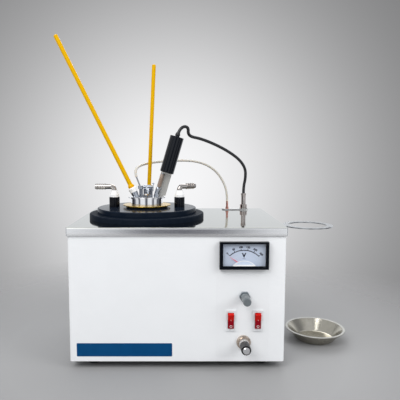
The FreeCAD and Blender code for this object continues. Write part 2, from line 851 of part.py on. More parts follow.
def add_bend_path(sketch, low):
    """Up from a height, round the elbow and out to the end of the barb."""
    start = "(elbow_level - elbow_bend)"
    bend, level = size("elbow_bend"), size("elbow_level")
    foot, knee = Vector(0, level - 2 * bend), Vector(0, level - bend)
    halfway = Vector(bend * (1 - math.sqrt(0.5)), level - bend * (1 - math.sqrt(0.5)))
    shoulder, tip = Vector(bend, level), Vector(2 * bend, level)
    sketch.addGeometry(Part.LineSegment(foot, knee), False)
    sketch.addGeometry(Part.Arc(knee, halfway, shoulder), False)
    sketch.addGeometry(Part.LineSegment(shoulder, tip), False)
    hold(sketch, 0, 1, "0", low)
    hold(sketch, 0, 2, "0", start)
    hold(sketch, 2, 2, "barb_reach", "elbow_level")
    # The arc runs against the path, so its end meets the stem and its start the barb
    sketch.addConstraint(Sketcher.Constraint("Coincident", 1, 2, 0, 2))
    sketch.addConstraint(Sketcher.Constraint("Tangent", 1, 1, 2, 1))
    hold(sketch, 1, 3, "elbow_bend", start)


def hose_barb(label, right, yaw):
    """A stainless elbow: stem through the disc, a quarter bend and a toothed end for the hose."""
    body = new_body(label, right=right, lean=yaw, about=(0, 0, 1))
    low = "disc_top - elbow_dip"
    section = add_circle(new_sketch(body, "XY_Plane", low), "0", "0", "elbow_radius")
    path = new_sketch(body)
    add_bend_path(path, low)
    tube = body.newObject("PartDesign::AdditivePipe", "elbow")
    tube.Profile = section
    tube.Spine = (path, ["Edge1", "Edge2", "Edge3"])
    teeth = new_sketch(body)
    tooth = "(barb_radius - elbow_radius)"
    far, near_side = "barb_reach", "(barb_reach - barb_pitch)"
    add_outline(teeth, [(near_side, "elbow_level + elbow_radius * 0.9"),
                        (far, "elbow_level + elbow_radius * 0.9"),
                        (far, "elbow_level + elbow_radius"), (near_side + " + barb_pitch / 8",
                        "elbow_level + elbow_radius + " + tooth),
                        (near_side, "elbow_level + elbow_radius + " + tooth)])
    add_axis(teeth, "0", "elbow_level", "barb_reach", "elbow_level")
    barb = turn(body, teeth, "Axis0")
    row = body.newObject("PartDesign::LinearPattern", "row")
    row.Originals = [barb]
    row.Direction = (origin_part(body, "X_Axis"), [""])
    row.Reversed = True
    row.Mode = "Spacing"
    row.setExpression("Offset", bind("barb_pitch"))
    row.setExpression("Occurrences", bind("barb_count"))
    body.Tip = row
    inside = add_circle(new_sketch(body, "XY_Plane", low), "0", "0", "elbow_bore")
    bore_path = new_sketch(body)
    add_bend_path(bore_path, low)
    bore = body.newObject("PartDesign::SubtractivePipe", "bore")
    bore.Profile = inside
    bore.Spine = (bore_path, ["Edge1", "Edge2", "Edge3"])
    check_cut(row, bore)


# Thermometers

def bath_thermometer():
    at = {"right": "bath_rod_right - bath_left", "back": "bath_rod_back", "up": "disc_top",
          "lean": "bath_rod_lean"}
    body, rod = turned_body("bath_thermometer", [
        ("0", "-bath_rod_depth"), ("bulb_radius", "-bath_rod_depth"),
        ("bulb_radius", "bulb_length - bath_rod_depth"),
        ("bath_rod_radius", "bulb_length - bath_rod_depth + bath_rod_radius"),
        ("bath_rod_radius", "bath_rod_length"),
        ("0", "bath_rod_length")], **at)
    radius, top = size("bath_rod_radius"), size("bath_rod_length")
    soften(body, rod, "rod_tip_round", lambda edge: is_rim(edge, radius, top))


def thermometer_grommet():
    bore = "bath_rod_radius + 2 * fit_gap"
    turned_body("thermometer_grommet", [
        (bore, "lower_top - spigot_depth"), ("grommet_neck", "lower_top - spigot_depth"),
        ("grommet_neck", "disc_top"),
        ("grommet_radius", "disc_top"), ("grommet_radius", "disc_top + grommet_height"),
        (bore, "disc_top + grommet_height")], right="bath_rod_right - bath_left", back="bath_rod_back")


def cup_rod_place():
    """Where the axis of the cup thermometer crosses the lid, leaning left."""
    return {"right": "-bath_left - rod_left", "back": "-rod_front", "up": "lid_top", "lean": "-rod_lean"}


def cup_thermometer():
    body, rod = turned_body("cup_thermometer", [
        ("0", "-stem_dip"), ("bulb_radius", "-stem_dip"), ("bulb_radius", "bulb_length - stem_dip"),
        ("stem_radius", "bulb_length - stem_dip + stem_radius"), ("stem_radius", "bulge_low"),
        ("bulge_radius", "bulge_low"), ("bulge_radius", "bulge_low + bulge_height * 0.55"),
        ("rod_radius", "bulge_low + bulge_height"), ("rod_radius", "rod_length"), ("0", "rod_length")],
        **cup_rod_place())
    radius, top, bulge = size("rod_radius"), size("rod_length"), size("bulge_radius")
    low = size("bulge_low")
    tip = soften(body, rod, "rod_tip_round", lambda edge: is_rim(edge, radius, top))
    soften(body, tip, "bulge_height / 5", lambda edge: is_rim(edge, bulge, low))


def socket_collar():
    bore = "stem_radius + stem_play"
    body, collar = turned_body("socket_collar", [
        (bore, "sleeve_height"), ("cone_low_radius", "sleeve_height"),
        ("cone_top_radius", "bulge_low - cone_top_radius / 5"), ("cone_low_radius", "bulge_low"),
        (bore, "bulge_low")], **cup_rod_place())


# Meter

def meter_case():
    body = new_body("meter_case")
    front = "wrap_front - meter_proud"
    bezel = pad(body, add_middle_box(new_sketch(body, "XZ_Plane", "wrap_front"), "meter_right", "meter_up",
                                     "meter_width", "meter_height"), "meter_proud")
    face = size("wrap_front") - size("meter_proud")
    soft = soften(body, bezel, "lens_rebate", lambda edge: all(near(point.Y,
                                                                    face) for point in edge.Vertexes))
    rear = new_sketch(body, "XZ_Plane", "wrap_front + meter_behind")
    share = "(meter_body_share)"
    add_middle_box(rear, "meter_right", "meter_up", "meter_width * %s - fit_gap" % share,
                   "meter_height * %s - fit_gap" % share)
    block = pad(body, rear, "meter_behind")
    window = new_sketch(body, "XZ_Plane", front)
    add_middle_box(window, "meter_right", "meter_up + window_up", "window_width", "window_height")
    opening = check_cut(block, pocket(body, window, "window_depth"))
    cavity = new_sketch(body, "XZ_Plane", front + " + window_lip")
    add_middle_box(cavity, "meter_right", "meter_up", "cavity_width", "cavity_height")
    well = check_cut(opening, pocket(body, cavity, "window_depth - window_lip"))
    rebate = new_sketch(body, "XZ_Plane", front)
    add_middle_box(rebate, "meter_right", "meter_up + window_up", "window_width + 2 * lens_rebate",
                   "window_height + 2 * lens_rebate")
    check_cut(well, pocket(body, rebate, "lens_sunk + lens_thickness"))


def meter_plates():
    """The glass in its rebate and the dial at the back of the cavity."""
    lens = new_body("meter_lens")
    glass = new_sketch(lens, "XZ_Plane", "wrap_front - meter_proud + lens_sunk + lens_thickness")
    pad(lens, add_middle_box(glass, "meter_right", "meter_up + window_up", "window_width + 2 * lens_rebate",
                             "window_height + 2 * lens_rebate"), "lens_thickness")
    dial = new_body("meter_dial")
    face = new_sketch(dial, "XZ_Plane", "dial_back")
    pad(dial, add_middle_box(face, "meter_right", "meter_up", "cavity_width", "cavity_height"),
        "dial_thickness")


def meter_pointer():
    """The needle and its hub, standing at zero on the left of the scale."""
    body = new_body("meter_pointer", right="meter_right", back="dial_back - dial_thickness - needle_gap",
                    up="pivot_up", lean="-needle_rest")
    half = "needle_width / 2"
    blade = add_outline(new_sketch(body), [
        ("-" + half, "0"), (half, "0"), (half, "needle_length * 0.6"),
        ("0", "needle_length"), ("-" + half, "needle_length * 0.6")])
    pad(body, blade, "needle_thickness", middle=True)
    hub = add_circle(new_sketch(body), "0", "0", "needle_hub")
    pad(body, hub, "2 * (needle_gap - fit_gap)", middle=True)


# Front controls

def front_turned(label, right, up, points):
    """A body turned about a front-to-back axis: heights run out of the front panel."""
    return turned_body(label, points, right=right, back="wrap_front", up=up, lean="90", about=(1, 0, 0))


def fluted(body, feature, radius, low, high):
    """Flutes round a knob."""
    flute = new_sketch(body, "XY_Plane", high)
    add_circle(flute, radius, "0", "flute_radius")
    cut = pocket(body, flute, "(%s) - (%s)" % (high, low))
    check_cut(feature, cut)
    around(body, cut, "flute_count")


def voltage_control():
    front_turned("potentiometer", "volt_right", "volt_up", [
        ("0", "-body_sheet - pot_depth"), ("pot_radius", "-body_sheet - pot_depth"),
        ("pot_radius", "-body_sheet"),
        ("pot_bush_radius", "-body_sheet"), ("pot_bush_radius", "pot_nut_height"),
        ("pot_shaft_radius", "pot_nut_height"), ("pot_shaft_radius", "pot_nut_height + volt_knob_bore"),
        ("0", "pot_nut_height + volt_knob_bore")])
    nut = new_body("pot_nut", right="volt_right", back="wrap_front", up="volt_up", lean="90",
                   about=(1, 0, 0))
    corners = [("pot_nut_radius * cos(%d)" % turned,
                "pot_nut_radius * sin(%d)" % turned) for turned in range(0, 360, 60)]
    block = pad(nut, add_outline(new_sketch(nut, "XY_Plane"), corners), "pot_nut_height")
    bevel = turn(nut, add_outline(new_sketch(nut), [
        ("pot_nut_radius * 0.86", "pot_nut_height"), ("pot_nut_radius + overrun", "pot_nut_height * 0.4"),
        ("pot_nut_radius + overrun", "pot_nut_height + overrun"),
        ("pot_nut_radius * 0.86", "pot_nut_height + overrun")]),
                 cut=True)
    check_cut(block, bevel)
    centre = add_circle(new_sketch(nut, "XY_Plane"), "0", "0", "pot_bush_radius + fit_gap / 2")
    check_cut(bevel, pocket(nut, centre))
    bore = "pot_shaft_radius + shaft_play"
    knob_low = "(pot_nut_height + fit_gap)"
    body, knob = front_turned("voltage_knob", "volt_right", "volt_up", [
        ("0", "volt_knob_bore + %s" % knob_low), (bore, "volt_knob_bore + %s" % knob_low), (bore, knob_low),
        ("volt_knob_radius", knob_low), ("volt_knob_radius", "volt_knob_proud * 0.9"),
        ("volt_knob_radius * 0.88", "volt_knob_proud"), ("0", "volt_knob_proud")])
    fluted(body, knob, "volt_knob_radius + flute_radius * 0.5", "volt_knob_proud * 0.42",
           "volt_knob_proud * 0.9")


def gas_control():
    front_turned("gas_valve", "valve_right", "valve_up", [
        ("0", "-body_sheet - valve_body_depth"), ("valve_body_radius", "-body_sheet - valve_body_depth"),
        ("valve_body_radius", "-body_sheet"), ("valve_bush_radius", "-body_sheet"),
        ("valve_bush_radius", "valve_ring_height"), ("valve_stem_radius", "valve_ring_height"),
        ("valve_stem_radius", "valve_ring_height + gas_knob_bore"),
        ("0", "valve_ring_height + gas_knob_bore")])
    bush = "valve_bush_radius + fit_gap / 2"
    front_turned("gas_valve_ring", "valve_right", "valve_up", [
        (bush, "0"), ("valve_ring_radius", "0"), ("valve_ring_radius", "valve_ring_height * 0.45"),
        ("valve_ring_radius * 0.82", "valve_ring_height * 0.6"),
        ("valve_ring_radius * 0.82", "valve_ring_height"),
        (bush, "valve_ring_height")])
    low, bore = "(valve_ring_height + fit_gap)", "valve_stem_radius + shaft_play"
    body, knob = front_turned("gas_knob", "valve_right", "valve_up", [
        ("0", "gas_knob_bore + " + low), (bore, "gas_knob_bore + " + low), (bore, low),
        ("gas_knob_radius", low), ("gas_knob_radius", "gas_knob_proud"),
        ("gas_cap_radius", "gas_knob_proud"),
        ("gas_cap_radius", "gas_knob_proud + gas_cap_height * 0.7"),
        ("gas_cap_radius * 0.8", "gas_knob_proud + gas_cap_height"),
        ("0", "gas_knob_proud + gas_cap_height")])
    fluted(body, knob, "gas_knob_radius + flute_radius * 0.5", "gas_knob_proud * 0.3", "gas_knob_proud")


def rocker_frames():
    """Bezel and body of both rocker switches, each with the well its rocker sits in."""
    body = new_body("rocker_frames")
    last = None
    for side in ("switch_left", "switch_right"):
        bezel = new_sketch(body, "XZ_Plane", "wrap_front")
        pad(body, add_middle_box(bezel, side, "switch_up", "switch_width", "switch_height"), "switch_bezel")
        rear = new_sketch(body, "XZ_Plane", "wrap_front + switch_depth")
        add_middle_box(rear, side, "switch_up", "switch_body_width - fit_gap",
                       "switch_body_height - fit_gap")
        block = pad(body, rear, "switch_depth")
        well = new_sketch(body, "XZ_Plane", "wrap_front - switch_bezel")
        add_middle_box(well, side, "switch_up", "rocker_width + 2 * rocker_play",
                       "rocker_height + 2 * rocker_play")
        sunk = check_cut(block, pocket(body, well, "switch_bezel + rocker_well"))
        bore = new_sketch(body, "YZ_Plane", "%s - switch_body_width / 2 - overrun" % side)
        add_circle(bore, "wrap_front", "switch_up", "rocker_pin + fit_gap / 2")
        check_cut(sunk, pocket(body, bore, "switch_body_width + 2 * overrun", onward=True))


def rocker(label, side):
    """A rocker pivoted at the panel's face, pushed in at its lower end while off."""
    body = new_body(label, right=side, back="wrap_front", up="switch_up", lean="rocker_tilt",
                    about=(1, 0, 0))
    half = "rocker_height / 2"
    outline = [("0 - rocker_crown", "0"), ("0 - rocker_ends", half + " * 0.93"), ("0", half),
               ("rocker_belly", half + " * 0.6"),
               ("rocker_belly * 1.6", "0"), ("rocker_belly", "-%s * 0.6" % half), ("0", "-" + half),
               ("0 - rocker_ends", "-%s * 0.93" % half)]
    pad(body, add_outline(new_sketch(body, "YZ_Plane"), outline), "rocker_width", middle=True)
    pin = new_sketch(body, "YZ_Plane")
    add_circle(pin, "0", "0", "rocker_pin")
    pad(body, pin, "rocker_width + 2 * (rocker_play + rocker_pin_end)", middle=True)


# Deck fittings and the strap under them

def deck_fittings():
    at_gas = {"right": "gas_right", "back": "fitting_back", "up": "deck_top + strap_thickness"}
    turned_body("gas_fitting", [
        ("gas_bore", "-gas_tail"), ("gas_sleeve_radius", "-gas_tail"), ("gas_sleeve_radius", "0"),
        ("gas_nut_radius", "0"), ("gas_nut_radius", "gas_nut_height"),
        ("gas_sleeve_radius", "gas_nut_height"),
        ("gas_sleeve_radius", "gas_sleeve_top - strap_thickness"),
        ("gas_bore", "gas_sleeve_top - strap_thickness")],
        **at_gas)
    at_plug = {"right": "plug_right", "back": "fitting_back", "up": "deck_top + strap_thickness"}
    turned_body("connector_socket", [
        ("0", "-socket_tail"), ("socket_radius", "-socket_tail"), ("socket_radius", "0"),
        ("socket_flange_radius", "0"), ("socket_flange_radius", "socket_flange"),
        ("socket_radius", "socket_flange"),
        ("socket_radius", "socket_height"), ("0", "socket_height")], **at_plug)
    thread, low = "socket_radius + fit_gap / 2", "(socket_flange + fit_gap)"
    top = "(plug_top - strap_thickness)"
    turned_body("connector_plug", [
        ("0", "socket_height"), (thread, "socket_height"), (thread, low), ("plug_ring_radius", low),
        ("plug_ring_radius", low + " + plug_ring_height"),
        ("plug_body_radius", low + " + plug_ring_height"),
        ("plug_body_radius", "plug_body_top"), ("plug_clamp_radius", "plug_body_top"),
        ("plug_clamp_radius", top),
        ("0", top)], **at_plug)
    body = new_body("fitting_strap", up="deck_top", back="fitting_back")
    left, right = "(gas_right - strap_left)", "(plug_right + strap_right)"
    half = "strap_width / 2"
    plate = pad(body, add_outline(new_sketch(body, "XY_Plane"), [
        (left, "0"), (left + " + strap_point", "-" + half), (right + " - strap_point", "-" + half),
        (right, "0"),
        (right + " - strap_point", half), (left + " + strap_point", half)]), "strap_thickness")
    holes = new_sketch(body, "XY_Plane")
    add_circle(holes, "gas_right", "0", "gas_sleeve_radius + fit_gap / 2")
    add_circle(holes, "plug_right", "0", "socket_radius + fit_gap / 2")
    check_cut(plate, pocket(body, holes))


# Cup holder, its screws, and the loose dish

def cup_ring():
    body = new_body("cup_ring", right="holder_right", back="-holder_front", up="deck_top - holder_drop")
    root = "(deck_width / 2 - holder_right)"
    ring = pad(body, add_circle(new_sketch(body, "XY_Plane"), "0", "0", "holder_outer"), "holder_sheet",
               back=True)
    neck = new_sketch(body, "XY_Plane")
    add_outline(neck, [(root, "-holder_neck / 2"), ("-holder_inner * 0.6", "-holder_neck / 2"),
                       ("-holder_inner * 0.6", "holder_neck / 2"), (root, "holder_neck / 2")])
    arm = pad(body, neck, "holder_sheet", back=True)
    hole = check_cut(arm, pocket(body, add_circle(new_sketch(body, "XY_Plane"), "0", "0", "holder_inner")))
    tab = new_sketch(body, "YZ_Plane", root)
    add_box(tab, "-holder_neck / 2", "-holder_flange", "holder_neck / 2", "0")
    flange = pad(body, tab, "holder_sheet")
    drill = new_sketch(body, "YZ_Plane", root)
    for along in ("holder_screw_gap / 2", "-holder_screw_gap / 2"):
        add_circle(drill, along, "-holder_flange * 0.6", "holder_screw_shank + fit_gap / 2")
    check_cut(flange, pocket(body, drill))


def ring_screws():
    body = new_body("ring_screws", right="deck_width / 2 + holder_sheet",
                    back="-holder_front - holder_screw_gap / 2",
                    up="deck_top - holder_drop - holder_flange * 0.6", lean="90")
    head = "screw_head * 0.7"
    screw = turn(body, add_outline(new_sketch(body), [
        ("0", "-holder_sheet"), ("holder_screw_shank", "-holder_sheet"), ("holder_screw_shank", "0"),
        ("holder_screw_head", "0"), ("holder_screw_head", head + " * 0.5"),
        ("holder_screw_head * 0.6", head),
        ("0", head)]))
    repeat(body, screw, "holder_screw_gap", role="Y_Axis")


def dish():
    inner = "dish_sheet"
    body, shell = turned_body("dish", [
        ("0", "0"), ("dish_base", "0"), ("dish_mouth", "dish_height - dish_sheet"),
        ("dish_rim", "dish_height - dish_sheet"),
        ("dish_rim", "dish_height"), ("dish_mouth - dish_sheet", "dish_height"),
        ("dish_base - dish_sheet", inner),
        ("0", inner)], right="dish_right", back="-dish_front")
    low, corner = size("dish_sheet"), size("dish_base") - size("dish_sheet")
    base = size("dish_base")
    inside = soften(body, shell, "dish_round", lambda edge: is_rim(edge, corner, low))
    soften(body, inside, "dish_round + dish_sheet", lambda edge: is_rim(edge, base, 0))


# Rear inlets and the control board

def power_inlet():
    body = new_body("power_inlet", right="inlet_right", back="wrap_back", up="inlet_up")
    face = new_sketch(body, "XZ_Plane", "inlet_face")
    pad(body, add_middle_box(face, "0", "0", "inlet_width", "inlet_height"), "inlet_face")
    rear = new_sketch(body, "XZ_Plane", "0")
    block = pad(body, add_middle_box(rear, "0", "0", "inlet_body_width", "inlet_body_height"),
                "inlet_body_depth")
    well = new_sketch(body, "XZ_Plane", "inlet_face")
    add_middle_box(well, "0", "0", "inlet_well_width", "inlet_well_height")
    hollow = check_cut(block, pocket(body, well, "inlet_well_depth", onward=True))
    pins = new_sketch(body, "XZ_Plane", "inlet_face - inlet_well_depth + inlet_pin_length")
    add_middle_box(pins, "-inlet_pin_gap", "-inlet_pin_height / 4", "inlet_pin_width", "inlet_pin_height")
    add_middle_box(pins, "inlet_pin_gap", "-inlet_pin_height / 4", "inlet_pin_width", "inlet_pin_height")
    add_middle_box(pins, "0", "inlet_pin_height / 2", "inlet_pin_width", "inlet_pin_height")
    pad(body, pins, "inlet_pin_length + inlet_face / 2")


def rear_gas_inlet():
    turned_body("rear_gas_inlet", [
        ("gas_bore", "-gas_tail"), ("gas_inlet_radius", "-gas_tail"), ("gas_inlet_radius", "0"),
        ("gas_inlet_nut", "0"), ("gas_inlet_nut", "gas_inlet_nut_height"),
        ("gas_inlet_radius", "gas_inlet_nut_height"), ("gas_inlet_radius", "gas_inlet_reach * 0.7"),
        ("gas_inlet_radius * 1.3", "gas_inlet_reach * 0.72"), ("gas_inlet_radius * 0.9", "gas_inlet_reach"),
        ("gas_bore", "gas_inlet_reach")], right="gas_inlet_right", back="wrap_back", up="gas_inlet_up",
        lean="-90", about=(1, 0, 0))


def control_board():
    body = new_body("control_board", right="board_right", back="board_back", up="foot_height + body_sheet")
    left, low = "(-board_width / 2)", "(board_up)"
    card = pad(body, add_box(new_sketch(body), left, low, "board_width / 2", low + " + board_height"),
               "board_thickness")
    for along in ("-board_width / 3", "board_width / 3"):
        post = new_sketch(body)
        add_middle_box(post, along, "(board_up + board_part) / 2", "board_part", "board_up + board_part")
        pad(body, post, "board_part", back=True)
    parts = new_sketch(body, "XZ_Plane", "-board_thickness")
    add_middle_box(parts, "-board_width / 4", low + " + board_height * 0.6", "board_width / 3",
                   "board_height / 3")
    add_middle_box(parts, "board_width / 4", low + " + board_height * 0.7", "board_width / 5",
                   "board_height / 4")
    pad(body, parts, "board_part")


# Lid plate, socket, guides and posts

def leaning(points, angle):
    """Outline points given as radius and distance along an axis that leans towards +X by an angle."""
    turned = []
    for radius, along in points:
        across = "(%s) * cos(%s) + (%s) * sin(%s)" % (radius, angle, along, angle)
        up = "(%s) * cos(%s) - (%s) * sin(%s)" % (along, angle, radius, angle)
        turned.append((across, up))
    return turned


def turned_leaning(body, points, angle, cut=False):
    """A feature turned about an axis that leans within an upright body."""
    sketch = add_outline(new_sketch(body), leaning(points, angle))
    add_axis(sketch, "0", "0", "overrun * sin(%s)" % angle, "overrun * cos(%s)" % angle)
    return turn(body, sketch, "Axis0", cut)


def trim_below(body, reach):
    """Cut away everything of a body that lies under its own level zero."""
    low = add_middle_box(new_sketch(body, "XY_Plane"), "0", "0", reach, reach)
    cut = pocket(body, low, reach)
    return cut


def lid_plate():
    skirt = "(cup_radius + lid_play)"
    body, plate = turned_body("lid_plate", [
        ("0", "rim_top"), (skirt, "rim_top"), (skirt, "rim_top - lid_skirt"),
        ("lid_radius", "rim_top - lid_skirt"),
        ("lid_radius", "lid_top"), ("0", "lid_top")], right="-bath_left")
    outer, top = size("lid_radius"), size("lid_top")
    rim = soften(body, plate, "lid_plate / 3", lambda edge: is_rim(edge, outer, top))
    ear = new_sketch(body)
    inner, level = "(lid_radius - ear_thickness)", "(rim_top - lid_skirt)"
    add_outline(ear, [(inner, level), ("lid_radius + ear_thickness * 0.4", level),
                      ("lid_radius + ear_reach", level + " + ear_slant"),
                      ("lid_radius + ear_reach - ear_thickness * 0.5",
                       level + " + ear_slant + ear_thickness"),
                      ("lid_radius", level + " + ear_thickness"), (inner, level + " + ear_thickness")])
    mirrored(body, pad(body, ear, "ear_width", middle=True))
    both = body.Tip
    holes = new_sketch(body, "XY_Plane", "lid_top")
    add_box(holes, "-track_left - port_half", "-port_front", "port_half - track_left", "port_back")
    add_circle(holes, "-rod_left", "-rod_front", "stem_radius / cos(rod_lean) + lid_plate * tan(rod_lean)")
    add_circle(holes, "stir_right", "stir_back",
               "shaft_radius / cos(stir_lean) + lid_plate * tan(stir_lean)")
    check_cut(both, pocket(body, holes))


def thermometer_socket():
    """A slanted tube on the lid, trimmed level where it stands."""
    place = cup_rod_place()
    place.pop("lean")
    body = new_body("thermometer_socket", **place)
    bore, deep = "stem_radius + stem_play", "(-sleeve_height)"
    tube = turned_leaning(body, [
        (bore, deep), ("sleeve_radius", deep), ("sleeve_radius", "sleeve_height - sleeve_band"),
        ("sleeve_band_radius", "sleeve_height - sleeve_band"), ("sleeve_band_radius", "sleeve_height"),
        (bore, "sleeve_height")], "-rod_lean")
    check_cut(tube, trim_below(body, "4 * sleeve_height"))


def slide_guides():
    """Two rails whose lips hold the shutter down."""
    body = new_body("slide_guides", right="-bath_left - track_left", up="lid_top")
    length = "(track_front + track_back)"
    for side in ("", "-"):
        outer = side + "(track_half + shutter_play + rail_width)"
        inner = side + "(track_half + shutter_play)"
        lip = side + "(track_half - rail_lap)"
        sketch = add_outline(new_sketch(body, "XZ_Plane", "track_back"), [
            (outer, "0"), (inner, "0"), (inner, "rail_height - rail_cover"),
            (lip, "rail_height - rail_cover"),
            (lip, "rail_height"), (outer, "rail_height")])
        pad(body, sketch, length)


def jet_posts():
    """Two posts astride the guides: the right one bored for the cross tube, the left under the gas union."""
    body = new_body("jet_posts", right="-bath_left - track_left", back="jet_back", up="lid_top")
    inside = "(track_half + shutter_play + rail_width + post_gap)"
    reach = "jet_rise + post_width / 2"
    first = add_middle_box(new_sketch(body, "YZ_Plane", inside), "0", "(%s) / 2" % reach, "post_width",
                           reach)
    right = pad(body, first, "post_thickness")
    low = "(jet_rise - union_height / 2)"
    second = add_middle_box(new_sketch(body, "YZ_Plane", "-%s" % inside), "0", "%s / 2" % low, "post_width",
                            low)
    left = pad(body, second, "left_post", back=True)
    top, half = size("jet_rise") + size("post_width") / 2, size("post_width") / 2

    def shoulder(edge):
        middle = edge.CenterOfMass
        along = isinstance(edge.Curve, Part.Line) and near(abs(edge.tangentAt(edge.FirstParameter).x), 1)
        return along and middle.x > 0 and near(middle.z, top) and near(abs(middle.y), half)

    round_top = soften(body, left, "post_width * 0.46", shoulder)
    bore = add_circle(new_sketch(body, "YZ_Plane"), "0", "jet_rise", "jet_tube + jet_play")
    check_cut(round_top, pocket(body, bore))


def gas_riser():
    """The union on the left post, in which the cross tube turns, and the thin pipe that brings its gas."""
    side = "(track_half + shutter_play + rail_width + post_gap + left_post * 0.65)"
    body = new_body("gas_riser", right="-bath_left - track_left - " + side, back="jet_back", up="jet_level")
    half = "union_height / 2"
    nut = turn(body, add_outline(new_sketch(body), [
        ("0", "-" + half), ("union_radius", "-" + half), ("union_radius", half), ("0", half)]))
    edge_up, wide = size(half), size("union_radius")
    union = soften(body, nut, "union_height / 8",
                   lambda edge: is_rim(edge, wide, edge_up) or is_rim(edge, wide, -edge_up))
    pipe = turned_leaning(body, [
        ("0", half + " / 2"), ("riser_tube", half + " / 2"), ("riser_tube", "riser_run"),
        ("0", "riser_run")],
        "-riser_lean")
    bore = turned_leaning(body, [
        ("0", "0"), ("riser_bore", "0"), ("riser_bore", "riser_run + overrun"),
        ("0", "riser_run + overrun")],
        "-riser_lean", cut=True)
    check_cut(pipe, bore)
    seat = add_circle(new_sketch(body, "YZ_Plane", "-jet_tube / 4"), "0", "0", "jet_tube + jet_play")
    check_cut(bore, pocket(body, seat, "union_radius + overrun", onward=True))


# Shutter and test jet

def shutter():
    """The sliding plate, with a lug and pin at its side that the jet's fork drives."""
    body = new_body("shutter", right="-bath_left - track_left", up="shutter_low")
    plate = pad(body, add_box(new_sketch(body, "XY_Plane"), "-track_half", "-shutter_front", "track_half",
                              "shutter_back"),
                "shutter_sheet")
    arm_far = "(jet_arm_right + jet_arm_thickness + post_gap)"
    pin_up = "(jet_pin_rise - shutter_play)"
    lug = new_sketch(body, "YZ_Plane", arm_far)
    add_box(lug, "jet_back - shutter_travel / 2 - lug_width / 2", "shutter_sheet / 2",
            "jet_back - shutter_travel / 2 + lug_width / 2", pin_up + " + jet_pin * 1.6")
    ear = pad(body, lug, "lug_thickness")
    pin = new_sketch(body, "YZ_Plane", arm_far)
    add_circle(pin, "jet_back - shutter_travel / 2", pin_up, "jet_pin")
    pad(body, pin, "jet_arm_thickness + 2 * post_gap", back=True)


def test_jet():
    """The cross tube with its nozzle, the fork that drives the shutter and the ball lever."""
    body = new_body("test_jet", right="-bath_left - track_left", back="jet_back", up="jet_level")
    post_in = "(track_half + shutter_play + rail_width + post_gap)"
    left_end = "(%s + left_post * 0.6)" % post_in
    left = new_sketch(body, "YZ_Plane", "-" + left_end)
    pad(body, add_circle(left, "0", "0", "jet_tube"),
        "%s + %s + post_thickness + post_gap + lever_thickness" % (left_end, post_in))
    drum = new_sketch(body, "YZ_Plane")
    pad(body, add_circle(drum, "0", "0", "drum_radius"), "2 * drum_half", middle=True)
    # The nozzle points forward and a little down
    nozzle = new_sketch(body, "YZ_Plane")
    points = []
    for radius, along in (("-jet_root", "0"), ("-jet_root", "jet_length * 0.45"),
                          ("-jet_tip", "jet_length"),
                          ("0", "jet_length"), ("0", "0")):
        across = "(%s) * sin(jet_lean) - (%s) * cos(jet_lean)" % (radius, along)
        up = "-(%s) * sin(jet_lean) - (%s) * cos(jet_lean)" % (along, radius)
        points.append((across, up))
    add_outline(nozzle, points)
    add_axis(nozzle, "0", "0", "-overrun * cos(jet_lean)", "-overrun * sin(jet_lean)")
    turn(body, nozzle, "Axis0")
    # The fork hangs down and leans forward by half the turn
    fork = new_sketch(body, "YZ_Plane", "jet_arm_right")
    half, slot = "(jet_arm_width / 2)", "(jet_pin + jet_slot_play)"
    outline = [("-" + half, "jet_tube / 2"), (half, "jet_tube / 2"), (half, "-jet_arm_length"),
               (slot, "-jet_arm_length"), (slot, "-jet_arm_length * 0.7"),
               ("-" + slot, "-jet_arm_length * 0.7"),
               ("-" + slot, "-jet_arm_length"), ("-" + half, "-jet_arm_length")]
    swung = "(-jet_turn / 2)"
    add_outline(fork, [("(%s) * cos(%s) - (%s) * sin(%s)" % (x, swung, z, swung),
                        "(%s) * sin(%s) + (%s) * cos(%s)" % (x, swung, z, swung)) for x, z in outline])
    pad(body, fork, "jet_arm_thickness")
    # The lever stands on the right end and leans back by half the turn, with a ball on top
    lever = new_sketch(body, "YZ_Plane", post_in + " + post_thickness + post_gap")
    half = "(lever_width / 2)"
    back = "(-jet_turn / 2)"
    outline = [("-%s * 0.5" % half, "-lever_tail"), (half + " * 0.5", "-lever_tail"), (half, "0"),
               (half + " * 0.6", "lever_rise"), ("-%s * 0.6" % half, "lever_rise"), ("-" + half, "0")]
    add_outline(lever, [("(%s) * cos(%s) - (%s) * sin(%s)" % (x, back, z, back),
                         "(%s) * sin(%s) + (%s) * cos(%s)" % (x, back, z, back)) for x, z in outline])
    pad(body, lever, "lever_thickness")
    ball = new_sketch(body, "YZ_Plane", post_in + " + post_thickness + post_gap + lever_thickness / 2")
    centre = ("-lever_rise * sin(%s)" % back, "lever_rise * cos(%s)" % back)
    add_half_round(ball, centre[0], centre[1], "ball_radius")
    turn(body, ball, "Axis0")


def add_half_round(sketch, across, up, radius):
    """Half a disc on an upright axis, which turns into a ball."""
    centre, reach = Vector(size(across), size(up)), Vector(0, size(radius))
    ring = Part.Circle(centre, Vector(0, 0, 1), reach.Length)
    first = sketch.addGeometry(Part.ArcOfCircle(ring, -math.pi / 2, math.pi / 2), False)
    side = sketch.addGeometry(Part.LineSegment(centre + reach, centre - reach), False)
    sketch.addConstraint(Sketcher.Constraint("Coincident", first, 2, side, 1))
    sketch.addConstraint(Sketcher.Constraint("Coincident", first, 1, side, 2))
    hold(sketch, first, 3, across, up)
    tie(sketch, "Radius", radius, first)
    tie(sketch, "DistanceX", across, -1, 1, side, 1)
    tie(sketch, "DistanceX", across, -1, 1, side, 2)
    add_axis(sketch, across, "%s - %s" % (up, radius), across, "%s + %s" % (up, radius))


# Stirrer, its motor and bracket

def stir_place(offset="0"):
    """On the stirrer's axis where it crosses the lid, or beside it by the motor's offset."""
    return {"right": "stir_right - bath_left + (%s) * cos(stir_lean)" % offset, "back": "stir_back",
            "up": "lid_top - (%s) * sin(stir_lean)" % offset, "lean": "stir_lean"}


